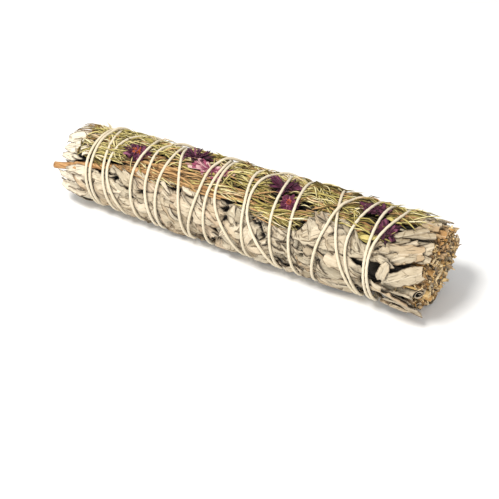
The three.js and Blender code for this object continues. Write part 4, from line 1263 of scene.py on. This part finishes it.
def cut_tube(piece, start, end, radius, slant, tone, sides=14, hollow=0.5):
    """A stem from start to end, whose far end shows a rim round a sunk pith."""
    length = np.linalg.norm(end - start)
    axis = (end - start) / length
    across = unit(np.cross(axis, [0, 0, 1.0]))
    up = np.cross(across, axis)
    turn = 2 * np.pi * np.arange(sides) / sides
    share, width, sunk, pale = np.array(STEM_PROFILE).T[..., None]
    wide = radius * width * (1 + 0.07 * np.sin(3 * turn + tone * 9) * (width > 0.5))
    ahead = share * length + sunk * hollow * radius + slant * wide * np.sin(turn) * (share == 1)
    offset = np.cos(turn)[:, None] * across + np.sin(turn)[:, None] * up
    rings = start + ahead[..., None] * axis + wide[..., None] * offset
    rings[..., 0] += 0.12 * noise(rings, 0.9, 3) * (pale > 0)
    grid = np.arange(wide.size).reshape(wide.shape)
    following = np.roll(grid, -1, axis=1)
    faces = np.stack([grid[:-1], grid[1:], following[1:], following[:-1]], -1)
    piece.add(rings, faces, pith=pale, tone=tone)


def cut_stems():
    for number, (radius, distance, angle, end, length, slant) in enumerate(stem_list()):
        middle = place(end - length / 2, angle, distance)
        rise = (axis_height(end) - axis_height(end - length)) / length
        reach = np.array([1, 0, rise]) * length / 2
        piece = Piece(f"woody_stem_{number + 1:02d}")
        cut_tube(piece, middle - reach, middle + reach, radius, slant, (number * 0.37) % 1)
        piece.finish(CUT_STEM, "cut_wood", [f"cut_stem_{number + 1:02d}"])


def chips(piece, draw, middle):
    """Chips and crumbs of leaf between the stalks, each a small bent plate that lies any way."""
    distance = 21.2 * draw.uniform(0.02, 1, CHIPS) ** 0.5
    angle = middle + draw.uniform(-30, 30, CHIPS)
    x = face_reach(distance, angle) + draw.normal(-1.2, 1.3, CHIPS)
    x -= [0 if clear_of_rolls(*spot) else 6 for spot in zip(angle, distance)]
    centre = place(x, angle, np.minimum(distance, outline(x, angle) - 0.8))
    first = unit(draw.normal(0, 1, (CHIPS, 3)))
    second = unit(np.cross(first, draw.normal(0, 1, (CHIPS, 3))))
    third = np.cross(first, second)
    first, second, third = (direction[:, None, None] for direction in (first, second, third))
    u = np.linspace(-1, 1, 4)[:, None, None]
    v = np.linspace(-1, 1, 3)[:, None]
    half, wide, curl = (draw.uniform(low, high, (CHIPS, 1, 1, 1)) for low, high in CHIP_RANGES)
    plates = (centre[:, None, None] + first * half * u + second * wide * v * (1 - 0.4 * u ** 2)
              + third * curl * (u ** 2 * half + v ** 2 * wide))
    tone = draw.uniform(0, 1, (CHIPS, 1, 1))
    pale = np.maximum(draw.uniform(-0.25, 1.0, (CHIPS, 1, 1)), 0)
    piece.slabs(plates, plates - 0.22 * third, tone=tone, pith=pale)


def cut_stalks(number):
    """The stalks of one sprig's leaves at the cut end, with chips between them."""
    draw = np.random.default_rng(4000 + number)
    middle = sprig_middle(number)
    piece = Piece(f"cut_stalks_{number + 1}")
    for _ in range(STALKS):
        distance = 21 * draw.uniform(0.02, 1) ** 0.55
        angle = middle + draw.uniform(-30, 30)
        radius = draw.uniform(0.25, 0.7)
        end = face_reach(distance, angle) + draw.normal(-0.6, 0.7)
        end -= 0 if clear_of_rolls(angle, distance) else 6
        start = place(end - draw.uniform(9, 14), angle + draw.normal(0, 4), distance * draw.uniform(0.8, 1.0))
        stop = place(end, angle + draw.normal(0, 3), min(distance, outline(end, angle) - 1.2))
        slant, tone, hollow = draw.uniform(-0.8, 0.8), draw.uniform(0, 1), draw.choice([0.1, 1.1])
        cut_tube(piece, start, stop, radius, slant, tone, 8, hollow)
    chips(piece, draw, middle)
    piece.finish(CUT_STEM, "cut_wood")


twig()
cut_stems()
for number in range(SPRIGS):
    cut_stalks(number)


# Sprays of fine leaves

def flower_push(x, angle):
    """How far the flowers press the fine leaves down."""
    total = 0.0
    for at, turn, half_length, half_width in FLOWERS:
        way = arc(angle - turn, at)
        total = total + np.exp(-(((x - at) / half_length) ** 2 + (way / half_width) ** 2) ** 2)
    return total


def column(value):
    """A value for each strand, or one for all, in a shape that goes with points along them."""
    return np.reshape(value, (-1, 1))


def strands(piece, starts, ends, radii, sides=4, arch=0.0, sway=0.0, push=0.0, shape=TAPER, **values):
    """Slim tapered strands between places (n, 3) given as x, angle and depth under the surface."""
    t = np.linspace(0, 1, len(shape))
    x, angle, depth = (column(start) + column(end - start) * t for start, end in zip(starts.T, ends.T))
    bow = np.sin(np.pi * t)
    angle = angle + column(sway) * bow
    depth = depth - column(arch) * bow + push * flower_push(x, angle)
    width = column(radii) * np.array(shape)
    high = np.where(string_gap(x, angle) < 1.1, outline(x, angle) - width + 0.15, FREE)
    path = place(x, angle, np.minimum(sheath(x, angle) - depth, high))
    path[..., 2] = np.minimum(path[..., 2], HIGHEST)
    # Painted shade: strands darken the deeper they lie.
    piece.tubes(path, width, sides, deep=0.93 * smoothstep(depth, 0.65, 2.0),
                **{key: column(value) for key, value in values.items()})


def spray_stem(piece, own, line):
    """The slim stem of a spray, with needles to both sides."""
    start, end = line.start, line.end
    x = np.linspace(start, end - 5, max(8, int((end - start) / 3)))
    path = place(x, line.angle(x), outline(x, line.angle(x)) - 2.0)
    piece.tubes(path, np.linspace(0.8, 0.5, len(x)), 8, tone=1.0, dry=0.5)
    count = round((end - start - 8) / 6)
    starts, ends = [], []
    for i in range(count):
        x = start + 1 + (end - start - 9) * i / max(count - 1, 1)
        length = min(own(9, 14), end - x)
        aside = (1 if i % 2 else -1) * own(1.2, LANE)
        reach = math.sqrt(length ** 2 - aside ** 2)
        starts.append((x, line.angle(x), 2.0))
        ends.append((x + reach, line.angle(x) + turn_of(aside, x), own(0.5, 1.7)))
    strands(piece, np.array(starts), np.array(ends), 0.45, tone=0.55)


def tufts(piece, draw, line):
    """Tufts of fine leaves along the stem, a few of them turned back and some brown."""
    number, start, end = line.number, line.start, line.end
    lean = math.degrees(math.atan2(math.radians(line.turned) * even_radius(start), end - start))
    astray = 0.08 if line.middle < 90 else 0.24 if line.middle > 110 else 0.15
    starts, ends, tones, radii = [], [], [], []
    for _ in range(int((end - start + 14) * TUFTS.get(number, EVEN_TUFTS))):
        x = draw.uniform(start - (16 if line.brown else 5), end - 2)
        low_side = -3.2 if number == WIDE_SPRAY else -2.2 if number < 2 and x < -45 else -1.35
        angle = line.angle(x) + draw.uniform(low_side, 1.35) * turn_of(LANE, x)
        angle = max(angle, strip_edge(x) + 4)
        low = draw.uniform(0.2, 2.8)
        yaw = draw.normal(3 + lean, 17) + (180 if draw.random() < 0.22 else 0)
        tone = np.clip(draw.normal(0.34 if x > 30 else 0.48, 0.3), 0.02, 0.93)
        if line.brown and x < 0 and draw.random() < (0.6 if angle < 56 else 0.45):
            tone = BROWN
        for _ in range(draw.integers(5, 12)):
            length = draw.uniform(9, 24)
            own_yaw = math.radians(yaw + draw.normal(0, 11))
            from_x = x + draw.normal(0, 2.5)
            from_angle = angle + draw.normal(0, 2.2)
            from_depth = low + draw.normal(0, 0.3)
            stray = draw.random() < astray
            depth = -draw.uniform(0.2, 2.4) if stray else from_depth - draw.uniform(-0.3, 1.7)
            starts.append((from_x, from_angle, from_depth))
            ends.append((from_x + length * math.cos(own_yaw),
                         from_angle + turn_of(length * math.sin(own_yaw), x), depth))
            tones.append(BROWN if tone == BROWN else np.clip(tone + draw.normal(0, 0.15), 0, 0.95))
            radii.append(draw.uniform(0.26, 0.5))
    starts, ends, tones = np.array(starts), np.array(ends), np.array(tones)
    count = len(tones)
    tones[draw.random(count) < 0.11] = BROWN
    for spots in (starts, ends):
        spots[:, 0] = np.clip(spots[:, 0], max(start - (18 if line.brown else 7), -94), end + 6)
    ends[:, 1] = np.maximum(ends[:, 1], strip_edge(ends[:, 0]) - draw.exponential(3.5, count))
    strands(piece, starts, ends, radii, arch=draw.normal(0.1, 0.5, count), sway=draw.normal(0, 2.2, count),
            push=2.0, tone=tones, dry=np.where(tones == BROWN, draw.uniform(0, 0.9, count), 0.0))


def leaflets(piece, draw, line):
    """Small narrow leaves among the needles, many and broader in some sprays."""
    start, end, broad = line.start, line.end, line.number in BROAD_LEAFLETS
    leaves = []
    for _ in range(int((end - start) / (3 if broad else 12))):
        x = draw.uniform(start + 2, end - 2)
        toward = draw.choice([-1.0, 1.0])
        length = draw.uniform(8, 16)
        root = np.clip(x - toward * length / 2, -92 + length * (toward < 0), end + 4 - length * (toward > 0))
        leaves.append(leaf_numbers(
            draw, x=root, angle=max(line.angle(x) + draw.uniform(-13, 13), strip_edge(x) + 9), length=length,
            half=draw.uniform(0.6, 1.5 if broad else 1.1), yaw=draw.normal(0, 14),
            depth=draw.uniform(-0.5, 0.5), tilt=draw.uniform(-0.7, 0.7), fold=draw.uniform(-0.7, 0.7),
            bend=draw.uniform(-1, 1), sink=draw.uniform(0.2, 1.5), tuck=draw.uniform(-0.5, 0.8),
            curl=0.2, crumple=0.1, toward=toward, cover=0.0, hollow=0.0, rises=(0.1, 0.1, 0.0),
            tone=draw.uniform(0.12, 0.5), dry=0.0))
    blades(piece, leaves, 10, 6, LEAFLET_THICKNESS)


def brown_stalks(piece, draw, line):
    """Brown stalks that run beside the stem, most of them along the twig."""
    start, end, brown = line.start, line.end, line.brown
    count = max(2, int((end - start) / (1.6 if brown else 5)))
    x = draw.uniform(start - (18 if brown else 3), end - 12, count)
    angle = line.angle(x) + (draw.uniform(-22, 3, count) if brown else draw.uniform(-15, 13, count))
    angle = np.maximum(angle, strip_edge(x) + 3)
    starts = stacked(x, angle, draw.uniform(0.1, 1.6, count))
    to_x = np.minimum(x + draw.uniform(14, 34, count), end + 3)
    to_angle = np.maximum(angle + draw.normal(-2, 5, count), strip_edge(to_x) + 2)
    ends = stacked(to_x, to_angle, draw.uniform(0.1, 1.3, count))
    strands(piece, starts, ends, draw.uniform(0.35, 0.75, count), 6, arch=draw.normal(0, 0.3, count),
            sway=draw.normal(0, 2, count), push=2.0, shape=BLUNT, tone=BROWN, dry=draw.uniform(0, 0.9, count))


def wisps(piece, draw):
    """Thin strands that run out over the tip end."""
    angle = draw.uniform(74, 112, WISPS)
    starts = stacked(draw.uniform(-88, -80, WISPS), angle, draw.uniform(-0.2, 0.8, WISPS))
    ends = stacked(draw.uniform(-106, -97, WISPS), angle + draw.normal(0, 7, WISPS),
                   draw.uniform(-1.2, 0.4, WISPS))
    strands(piece, starts, ends, draw.uniform(0.2, 0.36, WISPS), sway=draw.normal(0, 2, WISPS),
            tone=draw.choice([0.3, BROWN], WISPS), dry=draw.uniform(0.2, 0.8, WISPS))


def spray(number):
    """A slim stem with tufts of fine leaves, and brown stalks that run beside it."""
    start, end, middle, turned = SPRAYS[number]
    own = Draw(300 + number)
    draw = np.random.default_rng(2000 + number)
    wander = own(0, 6)

    def stem_angle(x):
        return middle + turned * (x - start) / (end - start) + 2.2 * np.sin(x / 9 + wander)

    line = SimpleNamespace(number=number, start=start, end=end, middle=middle, turned=turned,
                           angle=stem_angle, brown=number == BROWN_SPRAY)
    piece = Piece(f"fine_leaves_{number + 1:02d}")
    spray_stem(piece, own, line)
    tufts(piece, draw, line)
    leaflets(piece, draw, line)
    brown_stalks(piece, draw, line)
    if number == TIP_SPRAY:
        wisps(piece, draw)
    piece.finish(NEEDLE, "fine_leaf", [f"fine_leaf_spray_{number + 1:02d}"])


for number in range(len(SPRAYS)):
    spray(number)


# Flowers

def flower(number):
    """A tuft of crinkled petals round an eye, flattened along the bundle, with slim dark strands."""
    x, angle, half_length, half_width = FLOWERS[number]
    draw = np.random.default_rng(3000 + number)
    piece = Piece(f"papery_flower_{number + 1}")
    least_along = 0.4 if number == DARK_FLOWER else 0.0

    def petals(count, reach, wide, root, tip, tones, heart=0.0):
        def drawn(low, high):
            return draw.uniform(low, high, (count, 1, 1))

        u, v = leaf_grid(8, 5)
        turn = draw.vonmises(0, 1.2, (count, 1, 1)) + math.pi * (draw.random((count, 1, 1)) < 0.45)
        far = drawn(*reach)
        broad = drawn(*wide) * np.sin(np.pi * (0.14 + 0.76 * u)) ** 0.7
        near = drawn(0.0, 0.3)
        out = (near + (far - near) * u) * half_length
        here = x + (out * np.cos(turn) - v * broad * np.sin(turn))
        way = out * np.sin(turn) * half_width / half_length + v * broad * np.cos(turn)
        at = angle + turn_of(way, x)
        depth = root + (drawn(*tip) - root) * u ** 1.4
        depth = depth + 0.3 * np.sin(6 * u + turn * 9) * v + drawn(-0.5, 0.5) * np.abs(v)
        high = np.where(string_gap(here, at) < 1.4, outline(here, at) - 0.15, FREE)
        radius = np.minimum(sheath(here, at) - depth, high)
        front = place(here, at, radius)
        shift = 0.3 * wobble(front, 1.6, 7)
        piece.slabs(front + shift, place(here, at, radius - 0.2) + shift, tone=drawn(*tones),
                    along=np.maximum(u, least_along), heart=heart)

    pale = number == PALE_FLOWER
    hearted = number in HEARTED_FLOWERS
    tones = FLOWER_TONES.get(number, (0.0, 0.7))
    lift = FLOWER_LIFT.get(number, 0.4)
    petals(34, (0.8, 1.3), (0.6, 1.3), 1.4, (-0.4 - lift, 1.0), (0.3, 1.0) if pale else tones)
    petals(28, (0.5, 0.9), (0.5, 1.1), 1.0, (-1.0 - lift, 0.4), (0.45, 1.0) if pale else tones)
    petals(22 if hearted else 14, (0.15, 0.42 if hearted else 0.35), (0.25, 0.5), 0.9, (-1.2, 0.0),
           (0.0, 0.6), 0.95 * hearted)

    count = FLOWER_STRANDS
    turn = draw.vonmises(0, 0.8, count) + math.pi * (draw.random(count) < 0.4)
    far = half_length * draw.uniform(0.4, 1.05, count)
    near = half_length * draw.uniform(0, 0.3, count)
    swing = turn_of(half_width / half_length, x) * np.sin(turn)
    starts = stacked(x + near * np.cos(turn), angle + near * swing, draw.uniform(0.6, 2.0, count))
    ends = stacked(x + far * np.cos(turn), angle + far * swing, draw.uniform(-0.8, 1.3, count))
    strands(piece, starts, ends, draw.uniform(0.14, 0.26, count), arch=draw.uniform(0, 0.6, count),
            tone=draw.uniform(0, 0.7, count), along=0.6)
    slot, look = ("magenta_petal", MAGENTA) if number in MAGENTA_FLOWERS else ("purple_petal", PURPLE)
    piece.finish(look, slot, [f"flower_{number + 1}"])


for number in range(len(FLOWERS)):
    flower(number)


# Floor, light and camera

def floor():
    corners = [(x * FLOOR_HALF, y * FLOOR_HALF, 0) for x, y in ((-1, -1), (1, -1), (1, 1), (-1, 1))]
    mesh = bpy.data.meshes.new("floor")
    mesh.from_pydata(corners, [], [(0, 1, 2, 3)])
    ground = bpy.data.objects.new("floor", mesh)
    bpy.context.scene.collection.objects.link(ground)
    paper = Shader("pale_floor", 0.9)
    paper.bsdf.inputs["Base Color"].default_value = (0.93, 0.93, 0.925, 1)
    mesh.materials.append(paper.material)


def lights():
    for name, energy, size, where, colour in LAMPS:
        light = bpy.data.lights.new(name, "AREA")
        light.shape = "DISK"
        light.energy = energy
        light.size = size
        light.color = colour
        lamp = bpy.data.objects.new(name, light)
        lamp.location = where
        lamp.rotation_euler = (Vector(LIT_PLACE) - Vector(where)).to_track_quat("-Z", "Y").to_euler()
        bpy.context.scene.collection.objects.link(lamp)
    world = bpy.data.worlds.new("studio")
    world.use_nodes = True
    world.node_tree.nodes["Background"].inputs["Color"].default_value = (1, 1, 1, 1)
    world.node_tree.nodes["Background"].inputs["Strength"].default_value = WORLD_STRENGTH
    bpy.context.scene.world = world
    bpy.context.scene.view_settings.view_transform = "Standard"


def camera():
    yaw, rise = math.radians(CAMERA["yaw"]), math.radians(CAMERA["rise"])
    back = Vector((math.sin(yaw) * math.cos(rise), -math.cos(yaw) * math.cos(rise), math.sin(rise)))
    data = bpy.data.cameras.new("camera")
    data.sensor_width = SENSOR
    data.sensor_fit = "HORIZONTAL"
    data.lens = SENSOR * PHOTO_FOCAL / PHOTO_SIZE
    data.clip_start = 0.01
    eye = bpy.data.objects.new("camera", data)
    eye.location = Vector(CAMERA["target"]) + CAMERA["distance"] * back
    eye.rotation_euler = (-back).to_track_quat("-Z", "Y").to_euler()
    bpy.context.scene.collection.objects.link(eye)
    bpy.context.scene.camera = eye


floor()
lights()
camera()
